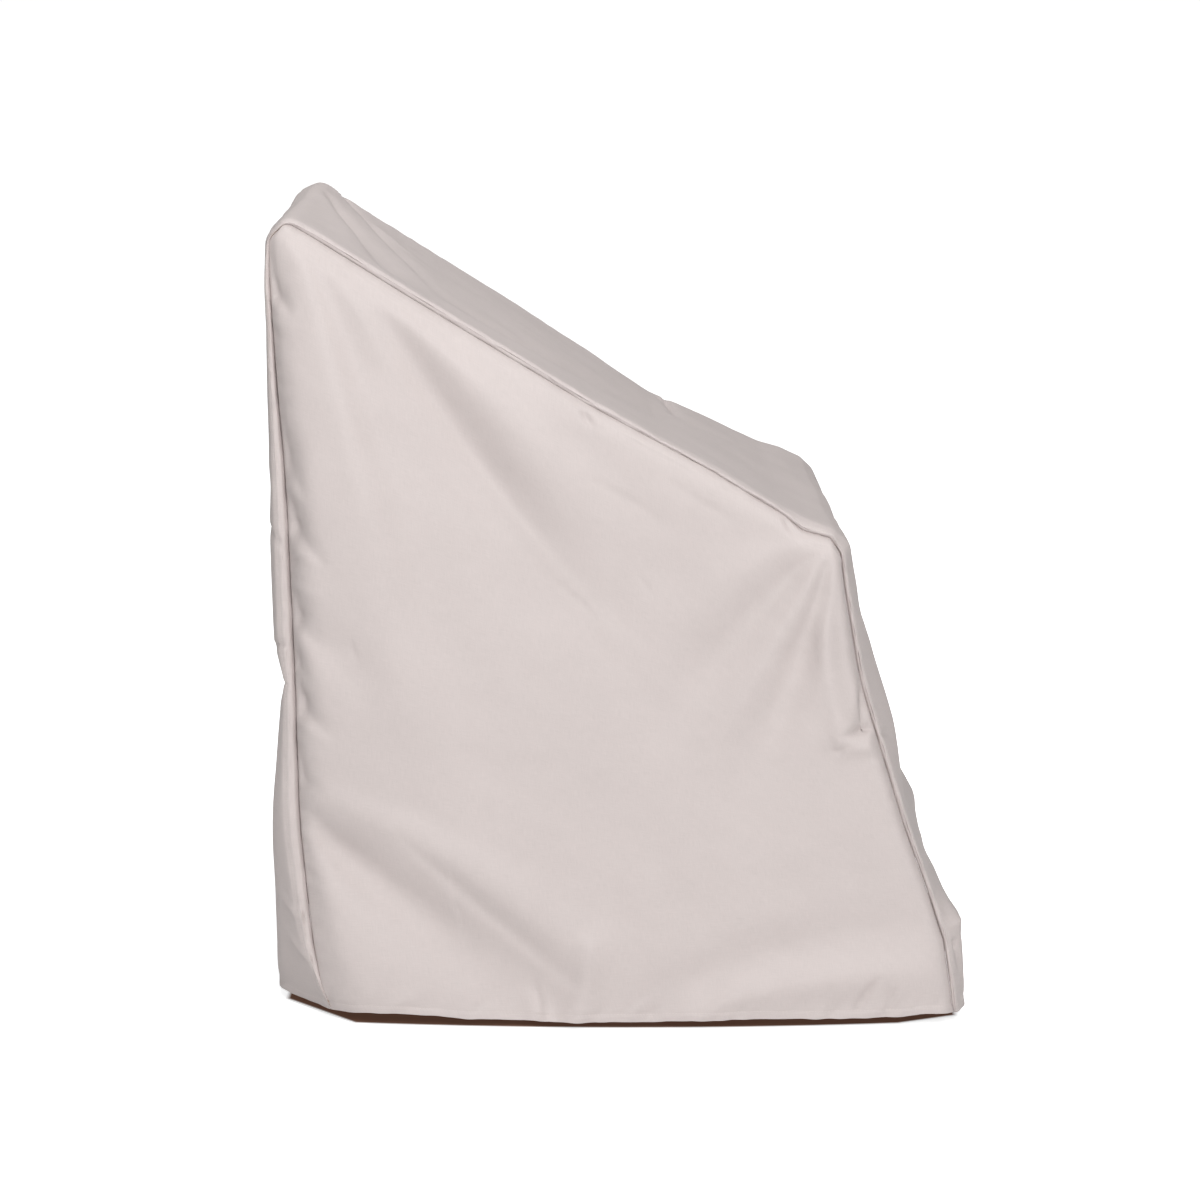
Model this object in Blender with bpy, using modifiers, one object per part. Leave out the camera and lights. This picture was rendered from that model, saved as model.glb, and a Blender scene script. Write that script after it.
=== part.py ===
# Fitted cover for a patio dining chair with arms.
#
# Three cut panels of coated cloth: a side panel left and right, and one long
# centre strip that runs up the back, over the crest, down the slope to the
# arm fronts and down the front.  The cover hangs from the chair inside it,
# which is not part of it.  It is open underneath.
#
# Frame: metres, +Z up, front of the chair towards -Y, left is -X.
# Origin: middle of the footprint, at the lowest point of the hem.

import math

import bpy
import numpy as np

# ---------------------------------------------------------------- main sizes
CLOTH = 0.0015            # thickness of the coated cloth
SEAM_GAP = 0.0004         # clearance between neighbouring panels at a seam
CENTRE_Y = -0.0022        # brings the table's y to the middle of the footprint
SIDE_BELLY = 0.022        # how far a side panel swings out at the hem
SIDE_BELLY_TOP = 0.30     # share of that swing still there at the top seam
FACET_SOFT = 0.12         # softness of the facet's far edge, as a share of it
RIBBON_WIDTH = 0.0068     # width of the topstitched seam allowance
RIBBON_PLUMP = 0.0016     # how far its face stands out sideways from the seam
RIBBON_TURN = 0.30        # radius at its stitched edge, as a share of its height
RIBBON_FULL = 0.0050      # an allowance at least this high is fully plump

# cells of the panels
SIDE_COLUMNS = 24
SIDE_ROWS = 25
STRIP_ACROSS = (-1.0, -0.989, -0.978, -0.93, -0.84, -0.64, -0.38, -0.13,
                0.13, 0.38, 0.64, 0.84, 0.93, 0.978, 0.989, 1.0)

CLOTH_COLOUR = (0.535, 0.478, 0.463, 1.0)

# ------------------------------------------------ the seam, station by station
# One row for each station along the seams, from the back hem over the crest to
# the front hem.
#   y, z          the left seam in side view
#   left_x        sideways place of the left seam
#   right_x       sideways place of the right seam
#   right_rise    the right seam against the left one, along the face's normal
#   face          direction that the strip faces there: 0 back, 90 up, 180 front
#   proud         how far the strip stands proud of its seams
#   belly         extra crown in the middle of the strip
#   ribbon        how high the seam allowance stands, in mm
#   facet         share of the half-width that the slant beside it takes, up to
#                 the full proud height
#   round         how softly the seam turns at the station, in mm
STATION_COLUMNS = ("name", "y", "z", "left_x", "right_x", "right_rise",
                   "face", "proud", "belly", "ribbon", "facet", "round")
STATIONS = (
    ("back_hem",      0.311, 0.006, -0.325, 0.325, 0.000,   0, 0.067, 0.000, 0.5, 0.250, 8),
    ("back_foot",     0.323, 0.030, -0.322, 0.322, 0.000,   0, 0.056, 0.000, 2.0, 0.210, 18),
    ("back_calf",     0.333, 0.082, -0.318, 0.318, 0.000,   0, 0.044, 0.001, 14.0, 0.150, 24),
    ("back_low",      0.346, 0.214, -0.309, 0.309, 0.000,   0, 0.033, 0.002, 22.0, 0.100, 40),
    ("back_notch",    0.349, 0.370, -0.302, 0.302, 0.000,   0, 0.0155, 0.003, 13.0, 0.060, 5),
    ("back_seat",     0.350, 0.404, -0.300, 0.300, 0.000,   0, 0.025, 0.001, 20.0, 0.080, 5),
    ("back_high",     0.357, 0.586, -0.288, 0.286, 0.000,   0, 0.020, 0.001, 15.0, 0.070, 40),
    ("back_shoulder", 0.366, 0.692, -0.277, 0.272, 0.000,   0, 0.011, 0.001, 8.5, 0.050, 30),
    ("back_neck",     0.373, 0.800, -0.264, 0.256, 0.002,   2, 0.006, 0.001, 5.0, 0.040, 16),
    ("crest_back",    0.373, 0.838, -0.260, 0.250, 0.010,   8, 0.005, 0.000, 3.0, 0.040, 4),
    ("crest_nape",    0.370, 0.844, -0.260, 0.250, 0.012,  40, 0.005, 0.000, 2.0, 0.040, 3),
    ("crest_front",   0.357, 0.857, -0.258, 0.248, 0.003,  62, 0.006, 0.000, 2.0, 0.040, 3),
    ("crest_brow",    0.349, 0.857, -0.258, 0.248, -0.003, 108, 0.007, 0.000, 4.0, 0.040, 6),
    ("brow",          0.320, 0.840, -0.261, 0.251, -0.009, 120, 0.008, 0.000, 7.0, 0.040, 24),
    ("slope_high",    0.233, 0.787, -0.270, 0.262, -0.0115, 121, 0.008, 0.000, 7.5, 0.040, 40),
    ("slope_upper",   0.126, 0.724, -0.284, 0.276, -0.016, 121, 0.008, 0.000, 7.5, 0.040, 40),
    ("slope_mid",     0.030, 0.668, -0.296, 0.289, -0.022, 120, 0.007, 0.000, 6.5, 0.040, 10),
    ("slope_kink",   -0.048, 0.627, -0.305, 0.299, -0.032, 119, 0.006, 0.000, 3.5, 0.040, 6),
    ("slope_lower",  -0.096, 0.602, -0.311, 0.307, -0.028, 119, 0.006, 0.000, 3.5, 0.040, 24),
    ("arm",          -0.176, 0.554, -0.316, 0.314, -0.020, 119, 0.006, 0.000, 4.0, 0.040, 6),
    ("arm_dip",      -0.197, 0.537, -0.319, 0.317, -0.014, 120, 0.011, 0.000, 6.0, 0.040, 4),
    ("arm_brow",     -0.227, 0.529, -0.320, 0.318, -0.017, 124, 0.008, 0.000, 4.5, 0.040, 3),
    ("arm_tip",      -0.238, 0.512, -0.320, 0.318, -0.017, 152, 0.013, 0.000, 4.5, 0.060, 4),
    ("front_top",    -0.243, 0.475, -0.318, 0.318, -0.006, 166, 0.014, 0.000, 5.0, 0.120, 14),
    ("front_high",   -0.261, 0.372, -0.314, 0.314, -0.002, 168, 0.023, -0.002, 6.0, 0.150, 30),
    ("front_knee",   -0.280, 0.311, -0.314, 0.314, 0.000, 168, 0.024, -0.002, 6.0, 0.150, 20),
    ("front_shin",   -0.312, 0.208, -0.318, 0.318, 0.000, 168, 0.009, -0.006, 6.0, 0.120, 14),
    ("front_calf",   -0.337, 0.140, -0.322, 0.322, 0.000, 168, 0.012, -0.008, 6.0, 0.120, 14),
    ("front_ledge",  -0.351, 0.097, -0.325, 0.325, -0.010, 170, 0.0290, -0.012, 6.0, 0.060, 1.5),
    ("front_tuck",   -0.355, 0.086, -0.326, 0.326, -0.010, 178, 0.0240, -0.012, 5.0, 0.060, 2),
    ("front_foot",   -0.362, 0.040, -0.330, 0.330, -0.004, 179, 0.021, -0.008, 5.5, 0.080, 16),
    ("front_hem",    -0.366, 0.007, -0.332, 0.332, 0.000, 180, 0.017, -0.006, 5.0, 0.080, 8),
)
CREST_CORNER = 0.5        # the panel's top corner, between crest_back and _front
CORNER_AT_ARM = "arm_tip"

# how each side panel stands out beside its seams
#   share    where on that edge: 0 at the hem or the crest, 1 at the arm or top
#   rise     how far it stands out from the seam's groove close by
#   reach    distance over which it does
#   swell    how far it goes on swelling out from there
#   spread   distance over which it does
EDGE_COLUMNS = ("edge", "share", "rise", "reach", "swell", "spread")
EDGES = (
    ("back",  0.00, 0.007, 0.008, 0.012, 0.070),
    ("back",  0.20, 0.010, 0.010, 0.020, 0.075),
    ("back",  0.50, 0.034, 0.013, 0.020, 0.075),
    ("back",  0.72, 0.031, 0.013, 0.024, 0.075),
    ("back",  0.90, 0.014, 0.010, 0.018, 0.065),
    ("back",  1.00, 0.006, 0.010, 0.005, 0.040),
    ("top",   0.00, 0.004, 0.010, 0.002, 0.030),
    ("top",   1.00, 0.005, 0.010, 0.002, 0.030),
    ("front", 0.00, 0.006, 0.005, 0.003, 0.030),
    ("front", 0.50, 0.010, 0.006, 0.003, 0.030),
    ("front", 0.75, 0.014, 0.010, 0.003, 0.030),
    ("front", 1.00, 0.007, 0.006, 0.001, 0.030),
)
FOLD_EASE = 0.018         # folds die out this close to a seam

# how far each side hem droops below the line between its corners, in mm
#   share    0 at the back corner, 1 at the front
HEM_COLUMNS = ("share", "left", "right")
HEM_DROOP = (
    (0.00,  0.0, 0.0),
    (0.06, -4.5, 0.6),
    (0.12, -4.0, 2.4),
    (0.17, -1.0, 4.0),
    (0.22,  3.0, 4.4),
    (0.30,  5.0, 4.0),
    (0.52,  5.0, 5.6),
    (0.61,  2.8, 5.4),
    (0.70,  1.2, 3.2),
    (0.80,  3.0, 2.0),
    (0.86,  1.4, 3.0),
    (0.90,  2.0, 2.8),
    (0.95, -2.5, 0.6),
    (1.00,  0.0, 0.0),
)
HEM_ROUND = 0.016         # softness of that line, as a share of it

# ----------------------------------------------------------------- the folds
# One row for each soft fold.  A fold runs from start past middle to end; on a
# side panel the pair is (y, z), on the strip it is (distance along the left
# seam from the back hem, x across).  h0, h1, h2 are its heights at those three
# places (a trough is negative), w0 and w2 its half-widths at start and end,
# and lean makes one flank longer than the other.
FOLD_COLUMNS = ("name", "start", "middle", "end",
                "h0", "h1", "h2", "w0", "w2", "lean")
LEFT_FOLDS = (
    ("crest_ridge",     (0.345, 0.845), (0.270, 0.560), (0.190, 0.200), 0.003, 0.011, 0.004, 0.012, 0.060, 0.3),
    ("crest_ridge_2",   (0.319, 0.830), (0.233, 0.704), (0.140, 0.545), 0.002, 0.004, 0.000, 0.010, 0.030, 0.0),
    ("upper_ridge",     (0.248, 0.778), (0.130, 0.666), (-0.020, 0.490), 0.002, 0.011, 0.000, 0.012, 0.042, 0.0),
    ("crest_trough",    (0.250, 0.753), (0.153, 0.600), (0.040, 0.420), -0.002, -0.012, -0.001, 0.014, 0.058, 0.1),
    ("back_hollow",     (0.335, 0.440), (0.290, 0.395), (0.245, 0.350), -0.005, -0.007, 0.000, 0.020, 0.032, -0.2),
    ("foot_shoulder",   (0.330, 0.252), (0.180, 0.180), (0.030, 0.080), 0.003, 0.008, 0.006, 0.014, 0.034, 0.0),
    ("foot_toe",        (0.030, 0.085), (0.036, 0.040), (0.050, 0.000), 0.004, 0.005, 0.006, 0.014, 0.016, 0.0),
    ("foot_trough",     (0.340, 0.222), (0.257, 0.149), (0.105, 0.040), -0.005, -0.017, -0.010, 0.012, 0.042, 0.0),
    ("foot_ridge",      (0.332, 0.185), (0.300, 0.100), (0.245, 0.000), 0.003, 0.008, 0.009, 0.014, 0.050, -0.3),
    ("hem_flute",       (0.104, 0.046), (0.090, 0.024), (0.080, 0.000), 0.000, 0.003, 0.005, 0.010, 0.013, 0.0),
    ("arm_ridge_back",  (-0.190, 0.520), (-0.118, 0.482), (-0.010, 0.380), 0.001, 0.004, 0.000, 0.008, 0.036, 0.0),
    ("arm_trough_back", (-0.208, 0.510), (-0.130, 0.430), (-0.036, 0.302), -0.002, -0.006, 0.000, 0.007, 0.034, 0.0),
    ("arm_ridge",       (-0.215, 0.505), (-0.155, 0.393), (-0.060, 0.250), 0.002, 0.006, 0.000, 0.007, 0.034, 0.0),
    ("arm_trough_mid",  (-0.222, 0.500), (-0.189, 0.383), (-0.120, 0.220), -0.002, -0.006, 0.000, 0.006, 0.030, 0.0),
    ("arm_ridge_front", (-0.230, 0.495), (-0.215, 0.366), (-0.200, 0.220), 0.002, 0.005, 0.000, 0.006, 0.026, 0.0),
    ("knee_swell",      (-0.216, 0.470), (-0.226, 0.400), (-0.240, 0.320), 0.000, 0.005, 0.008, 0.010, 0.016, 0.0),
    ("knee_kink",       (-0.282, 0.304), (-0.260, 0.303), (-0.232, 0.300), 0.006, 0.005, 0.000, 0.008, 0.012, 0.0),
    ("hem_trough",      (-0.040, 0.036), (-0.177, 0.082), (-0.320, 0.108), -0.002, -0.006, -0.003, 0.018, 0.030, 0.0),
    ("hem_rise",        (-0.080, 0.010), (-0.200, 0.044), (-0.335, 0.052), 0.003, 0.006, 0.003, 0.014, 0.022, 0.0),
)
RIGHT_FOLDS = (
    ("crest_ridge",     (0.340, 0.838), (0.270, 0.650), (0.190, 0.420), 0.005, 0.011, 0.000, 0.010, 0.038, 0.0),
    ("crest_trough",    (0.300, 0.805), (0.195, 0.600), (0.060, 0.400), -0.003, -0.013, 0.000, 0.012, 0.048, 0.3),
    ("slack_ridge",     (0.165, 0.705), (0.050, 0.560), (-0.040, 0.400), 0.003, 0.011, 0.000, 0.014, 0.040, 0.0),
    ("slack_trough",    (0.070, 0.630), (-0.025, 0.530), (-0.090, 0.420), -0.003, -0.010, 0.000, 0.012, 0.032, 0.0),
    ("foot_trough",     (0.338, 0.170), (0.250, 0.105), (0.150, 0.010), -0.005, -0.014, -0.012, 0.012, 0.032, 0.3),
    ("foot_ridge",      (0.335, 0.240), (0.190, 0.135), (0.040, 0.000), 0.004, 0.013, 0.010, 0.014, 0.044, 0.0),
    ("arm_trough",      (-0.212, 0.500), (-0.140, 0.370), (-0.060, 0.220), -0.004, -0.013, 0.000, 0.008, 0.042, 0.2),
    ("arm_ridge",       (-0.226, 0.495), (-0.200, 0.350), (-0.160, 0.180), 0.004, 0.010, 0.000, 0.007, 0.030, 0.0),
    ("front_trough",    (-0.236, 0.450), (-0.252, 0.350), (-0.290, 0.240), -0.003, -0.009, -0.004, 0.008, 0.014, 0.0),
    ("hem_flute",       (-0.140, 0.130), (-0.155, 0.065), (-0.165, 0.000), 0.000, 0.007, 0.012, 0.016, 0.030, 0.0),
)
STRIP_FOLDS = (
    ("crest_gather",    (0.876, 0.140), (0.930, -0.030), (1.000, -0.255), -0.003, -0.008, 0.000, 0.006, 0.024, 0.4),
    ("crest_fall",      (0.880, 0.080), (0.915, -0.080), (0.950, -0.230), 0.002, 0.004, 0.000, 0.010, 0.030, 0.0),
    ("far_valley",      (1.040, -0.140), (1.190, -0.100), (1.356, 0.110), -0.001, -0.006, -0.003, 0.030, 0.050, 0.0),
    ("kink_tuck",       (1.345, 0.270), (1.356, 0.200), (1.357, 0.110), -0.004, -0.004, 0.000, 0.008, 0.012, 0.0),
    ("back_pull_left",  (0.575, -0.262), (0.480, -0.160), (0.430, -0.020), -0.003, -0.010, 0.000, 0.014, 0.050, 0.0),
    ("back_pull_right", (0.690, 0.245), (0.590, 0.120), (0.540, 0.000), -0.003, -0.009, 0.000, 0.014, 0.050, 0.0),
    ("back_notch_tuck", (0.362, -0.290), (0.367, -0.230), (0.388, -0.120), -0.004, -0.009, 0.000, 0.010, 0.026, 0.0),
    ("back_flute_left", (0.240, -0.120), (0.120, -0.135), (0.000, -0.150), 0.000, 0.006, 0.008, 0.030, 0.050, 0.0),
    ("back_flute_right", (0.300, 0.100), (0.150, 0.120), (0.000, 0.150), 0.000, -0.008, -0.010, 0.030, 0.050, 0.0),
    ("front_pull_left", (1.615, -0.280), (1.715, -0.150), (1.790, 0.010), -0.003, -0.008, 0.000, 0.012, 0.050, 0.0),
    ("front_pull_right", (1.615, 0.280), (1.740, 0.170), (1.830, 0.050), -0.003, -0.007, 0.000, 0.012, 0.046, 0.0),
)


# ------------------------------------------------------------------ helpers
def column(rows, columns, name):
    return np.array([float(r[columns.index(name)]) for r in rows])


def rounded(knots, values, where, soft):
    """Straight runs between the table's values, rounded at each of them."""
    where = np.asarray(where, float)
    knots = np.concatenate([[knots[0] - 0.2], knots, [knots[-1] + 0.2]])
    slope_0 = (values[1] - values[0]) / (knots[2] - knots[1])
    slope_1 = (values[-1] - values[-2]) / (knots[-2] - knots[-3])
    values = np.concatenate([[values[0] - 0.2 * slope_0], values, [values[-1] + 0.2 * slope_1]])
    total, weights = 0.0, 0.0
    for k in range(-8, 9):
        weight = math.cos(k / 9 * math.pi / 2) ** 2
        total = total + weight * np.interp(where + soft * k / 9 * 1.6, knots, values)
        weights += weight
    return total / weights


STATION_NAMES = [r[0] for r in STATIONS]
STATION = {c: column(STATIONS, STATION_COLUMNS, c) for c in STATION_COLUMNS[1:]}
ALONG = np.concatenate([[0.0], np.cumsum(np.hypot(np.diff(STATION["y"]),
                                                  np.diff(STATION["z"])))])
SEAM_LENGTH = ALONG[-1]


def at(name, along):
    along = np.asarray(along, float)
    soft = np.interp(along, ALONG, STATION["round"]) / 1000
    return rounded(ALONG, STATION[name], along, soft)


def station_along(name):
    return ALONG[STATION_NAMES.index(name)]


def facing(along):
    angle = np.radians(at("face", along))
    return np.stack([np.zeros_like(angle), np.cos(angle), np.sin(angle)], -1)


def seam(side, along):
    """Point on the left (side -1) or right (side +1) seam."""
    along = np.asarray(along, float)
    base = np.stack([at("left_x" if side < 0 else "right_x", along),
                     at("y", along) + CENTRE_Y, at("z", along)], -1)
    if side > 0:
        base = base + facing(along) * at("right_rise", along)[..., None]
    return base


CREST = (station_along("crest_back") * (1 - CREST_CORNER)
         + station_along("crest_front") * CREST_CORNER)
ARM = station_along(CORNER_AT_ARM)


def fold_height(folds, p, q):
    """Sum of the folds' heights at panel places (p, q)."""
    total = np.zeros_like(p)
    steps = np.linspace(0.0, 1.0, 15)
    for (_, start, middle, end, h0, h1, h2, w0, w2, lean) in folds:
        start, middle, end = map(np.array, (start, middle, end))
        # the curve through the three places
        line = (start[None] * ((1 - steps) * (1 - 2 * steps))[:, None]
                + middle[None] * (4 * steps * (1 - steps))[:, None]
                + end[None] * (steps * (2 * steps - 1))[:, None])
        best = np.full(p.shape, 1e9)
        place = np.zeros_like(p)
        offset = np.zeros_like(p)
        for k in range(len(steps) - 1):
            a, b = line[k], line[k + 1]
            run = b - a
            size = float(run @ run)
            t = np.clip(((p - a[0]) * run[0] + (q - a[1]) * run[1]) / size, 0, 1)
            dx, dy = p - a[0] - t * run[0], q - a[1] - t * run[1]
            far = np.hypot(dx, dy)
            nearer = far < best
            best = np.where(nearer, far, best)
            place = np.where(nearer, (k + t) / (len(steps) - 1), place)
            sign = np.sign(run[0] * dy - run[1] * dx)
            offset = np.where(nearer, far * sign, offset)
        height = (h0 * (1 - place) * (1 - 2 * place) + h1 * 4 * place * (1 - place)
                  + h2 * place * (2 * place - 1))
        width = w0 + (w2 - w0) * place
        width = width * (1 + lean * np.tanh(offset / width))
        total += height * np.exp(-(offset / width) ** 2)
    return total


def edge_sizes(edge, share):
    """The edge table's sizes, share of the way along that edge."""
    rows = [r for r in EDGES if r[0] == edge]
    return [np.interp(share, column(rows, EDGE_COLUMNS, "share"), column(rows, EDGE_COLUMNS, c))
            for c in EDGE_COLUMNS[2:]]


def soft_ramp(x, soft):
    return (x + np.sqrt(x * x + soft * soft)) / 2


def strip_places(along, across):
    """Distances on the strip: over the cloth from the nearer seam, sideways
    from it, and the half-width between the seams."""
    half = (at("right_x", along) - at("left_x", along)) / 2
    turn = RIBBON_TURN * np.maximum(at("ribbon", along) / 1000, 0.002)
    over = (1 - np.abs(across)) * (half + RIBBON_WIDTH)
    sideways = soft_ramp(over - RIBBON_WIDTH, turn) - soft_ramp(-RIBBON_WIDTH, turn)
    return over, sideways, half


def strip_point(along, across, lift=0.0):
    """Centre strip: along the seam, across from -1 (left) to 1 (right)."""
    along, across = np.broadcast_arrays(np.asarray(along, float), np.asarray(across, float))
    over, sideways, half = strip_places(along, across)
    t = np.sign(across) * (1 - np.minimum(sideways / half, 1))
    share = ((t + 1) / 2)[..., None]
    left, right = seam(-1, along), seam(1, along)
    chord = left * (1 - share) + right * share
    # the seam allowance stands up from the seam
    ribbon = at("ribbon", along) / 1000
    turn = RIBBON_TURN * np.maximum(ribbon, 0.002)
    out = ribbon * (1 - soft_ramp(RIBBON_WIDTH - over, turn) / soft_ramp(RIBBON_WIDTH, turn))
    # then a slanting flat rises to the strip's full height
    slant = sideways / (at("facet", along) * half)
    slant = slant - soft_ramp(slant - 1, FACET_SOFT) + soft_ramp(-1.0, FACET_SOFT)
    out = out + np.maximum(at("proud", along) - ribbon, 0) * slant
    out = out + at("belly", along) * (1 - t ** 2)
    ease = 1 - np.exp(-(sideways / FOLD_EASE) ** 2)
    out = out + ease * fold_height(STRIP_FOLDS, along, chord[..., 0]) + lift
    place = chord + facing(along) * out[..., None]
    plump = RIBBON_PLUMP * np.minimum(ribbon / RIBBON_FULL, 1)
    place[..., 0] += (np.sign(across) * plump * (1 - np.exp(-over / 0.0011))
                      * np.exp(-(over / RIBBON_WIDTH) ** 4))
    return place


def side_point(side, a, b):
    """Side panel: a from the back seam (0) to the front seam (1), b up."""
    def back(t):
        return seam(side, t * CREST)

    def front(t):
        return seam(side, SEAM_LENGTH + t * (ARM - SEAM_LENGTH))

    def top(t):
        return seam(side, CREST + t * (ARM - CREST))

    corner = {(i, j): seam(side, np.array(v)) for (i, j), v in {
        (0, 0): 0.0, (1, 0): SEAM_LENGTH, (0, 1): CREST, (1, 1): ARM}.items()}
    aa, bb = a[..., None], b[..., None]
    hem = corner[0, 0] * (1 - aa) + corner[1, 0] * aa
    place = ((1 - aa) * back(b) + aa * front(b) + (1 - bb) * hem + bb * top(a)
             - (1 - aa) * (1 - bb) * corner[0, 0] - aa * (1 - bb) * corner[1, 0]
             - (1 - aa) * bb * corner[0, 1] - aa * bb * corner[1, 1])
    width = np.linalg.norm(front(b) - back(b), axis=-1)
    height = np.linalg.norm(top(a) - hem, axis=-1)
    gaps = {"back": a * width, "front": (1 - a) * width, "top": (1 - b) * height}
    out = SIDE_BELLY * (4 * a * (1 - a)) ** 0.8 * (
        SIDE_BELLY_TOP + (1 - SIDE_BELLY_TOP) * (1 - b) ** 1.5) * (1 - b ** 6)
    ease = np.ones_like(a)
    shoulders = np.ones_like(a)
    stand = {}
    for edge, share in (("back", b), ("top", a), ("front", b)):
        gap = gaps[edge]
        rise, reach, swell, spread = edge_sizes(edge, share)
        ease = ease * (1 - np.exp(-(gap / FOLD_EASE) ** 2))
        groove = 1 - np.exp(-(gap / reach) ** 1.25)
        stand[edge] = (rise + swell * (1 - np.exp(-gap / spread))) * np.exp(-gap / 0.16)
        shoulders = shoulders * groove
    out = out + (stand["back"] + stand["top"] + stand["front"]) * shoulders
    out = out + ease * fold_height(LEFT_FOLDS if side < 0 else RIGHT_FOLDS,
                                   place[..., 1] - CENTRE_Y, place[..., 2])
    place = place.copy()
    place[..., 0] += side * out
    droop = rounded(column(HEM_DROOP, HEM_COLUMNS, "share"),
                    column(HEM_DROOP, HEM_COLUMNS, "left" if side < 0 else "right"), a, HEM_ROUND)
    place[..., 2] -= droop / 1000 * (1 - b) ** 3
    return place


def cloth_material(name, colour):
    material = bpy.data.materials.new(name)
    material.use_nodes = True
    shader = material.node_tree.nodes["Principled BSDF"]
    shader.inputs["Base Color"].default_value = colour
    shader.inputs["Roughness"].default_value = 0.55
    shader.inputs["Metallic"].default_value = 0.0
    return material


def sheet(name, columns, rows, place, outward, collection, colour):
    """A grid moved onto the panel's surface and given the cloth's thickness.

    place(i, j) takes grid line numbers and gives points."""
    bpy.ops.mesh.primitive_grid_add(x_subdivisions=columns, y_subdivisions=rows,
                                    size=2.0, location=(0, 0, 0))
    panel = bpy.context.object
    panel.name = name
    mesh = panel.data
    mesh.name = name
    flat = np.empty(len(mesh.vertices) * 3)
    mesh.vertices.foreach_get("co", flat)
    flat = flat.reshape(-1, 3)
    i = np.rint((flat[:, 0] + 1) / 2 * columns).astype(int)
    j = np.rint((flat[:, 1] + 1) / 2 * rows).astype(int)
    points = place(i, j)
    mesh.vertices.foreach_set("co", points.astype(np.float32).ravel())
    mesh.update()
    middle = mesh.polygons[len(mesh.polygons) // 2 + columns // 2]
    if middle.normal.dot(outward) < 0:
        mesh.flip_normals()
    for material in list(mesh.materials):
        mesh.materials.pop()
    mesh.materials.append(cloth_material(name, colour))
    mesh.shade_smooth()
    solid = panel.modifiers.new("cloth", "SOLIDIFY")
    solid.thickness = CLOTH
    solid.offset = -1.0
    solid.use_rim = True
    for other in list(panel.users_collection):
        other.objects.unlink(panel)
    collection.objects.link(panel)
    return panel


def closer_at_ends(count, power_low, power_high):
    """Grid lines from 0 to 1, closer together near the ends."""
    t = np.linspace(0.0, 1.0, count + 1)
    low, high = t ** power_low, 1 - (1 - t) ** power_high
    return low * (1 - t) + high * t


# -------------------------------------------------------------- build it all
for thing in list(bpy.data.objects):
    bpy.data.objects.remove(thing, do_unlink=True)

cover = bpy.data.collections.new("dining_chair_cover")
bpy.context.scene.collection.children.link(cover)

A_LINES = closer_at_ends(SIDE_COLUMNS, 1.45, 1.35)
B_LINES = closer_at_ends(SIDE_ROWS, 1.10, 1.45)

for side, name in ((-1, "side_panel_left"), (1, "side_panel_right")):
    def place(i, j, side=side):
        a, b = A_LINES[i], B_LINES[j]
        # keep clear of the seams by the gap
        a = np.clip(a, SEAM_GAP / 0.6, 1 - SEAM_GAP / 0.6)
        b = np.clip(b, 0.0, 1 - SEAM_GAP / 0.6)
        return side_point(side, a, b)
    sheet(name, SIDE_COLUMNS, SIDE_ROWS, place, (side, 0, 0), cover, CLOTH_COLOUR)

strip_lines = np.concatenate([B_LINES * CREST,
                              (CREST + A_LINES * (ARM - CREST))[1:],
                              (ARM + (1 - B_LINES[::-1]) * (SEAM_LENGTH - ARM))[1:]])
ACROSS = np.array(STRIP_ACROSS)


def place_strip(i, j):
    # the two edge rows stand just clear of the side panels
    edge = (np.abs(ACROSS[i]) == 1).astype(float)
    return strip_point(strip_lines[j], ACROSS[i], lift=edge * SEAM_GAP)


sheet("centre_strip", len(ACROSS) - 1, len(strip_lines) - 1, place_strip,
      (0, 0, 1), cover, CLOTH_COLOUR)
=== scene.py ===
# The looks of the fitted dining chair cover.
#
# Each CAD panel is replaced by a finer sheet on the same stations, edges and
# folds, with what the cloth does at a small scale added: the topstitched seam
# allowance, puckers along the seams, crisp creases, the turned hem and every
# stitch.  The weave is in the material.
#
# Frame: metres, +Z up, front of the chair towards -Y, left is -X.

import math

import bpy
import numpy as np
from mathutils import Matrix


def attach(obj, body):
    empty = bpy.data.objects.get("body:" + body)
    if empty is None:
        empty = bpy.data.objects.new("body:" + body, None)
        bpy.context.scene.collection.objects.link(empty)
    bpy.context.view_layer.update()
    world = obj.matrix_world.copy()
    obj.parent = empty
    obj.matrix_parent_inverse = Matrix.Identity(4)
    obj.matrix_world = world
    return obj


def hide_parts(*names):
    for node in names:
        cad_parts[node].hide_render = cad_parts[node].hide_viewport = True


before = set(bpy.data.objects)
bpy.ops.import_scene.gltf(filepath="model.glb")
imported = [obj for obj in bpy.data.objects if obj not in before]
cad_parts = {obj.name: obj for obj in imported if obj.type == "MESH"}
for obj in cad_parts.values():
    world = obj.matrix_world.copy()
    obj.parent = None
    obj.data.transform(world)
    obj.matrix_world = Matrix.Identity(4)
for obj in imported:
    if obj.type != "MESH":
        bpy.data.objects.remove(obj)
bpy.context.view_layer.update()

# ---------------------------------------------------------------- main sizes
CLOTH = 0.0015            # thickness of the coated cloth
CENTRE_Y = -0.0022        # brings the table's y to the middle of the footprint
SIDE_BELLY = 0.022        # how far a side panel swings out at the hem
SIDE_BELLY_TOP = 0.30     # share of that swing still there at the top seam
FACET_SOFT = 0.12         # softness of the facet's far edge, as a share of it
RIBBON_WIDTH = 0.0068     # width of the topstitched seam allowance
RIBBON_PLUMP = 0.0016     # how far its face stands out sideways from the seam
RIBBON_TURN = 0.30        # radius at its stitched edge, as a share of its height
RIBBON_FULL = 0.0050      # an allowance at least this high is fully plump
SEAM_TURN = 0.0011        # distance from a seam over which both cloths turn in
HEM_WIDTH = 0.0085        # from the hem's edge to its row of stitches
STITCH = 0.0035           # length of a stitch with its gap
THREAD = 0.00028          # radius of the sewing thread

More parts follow.
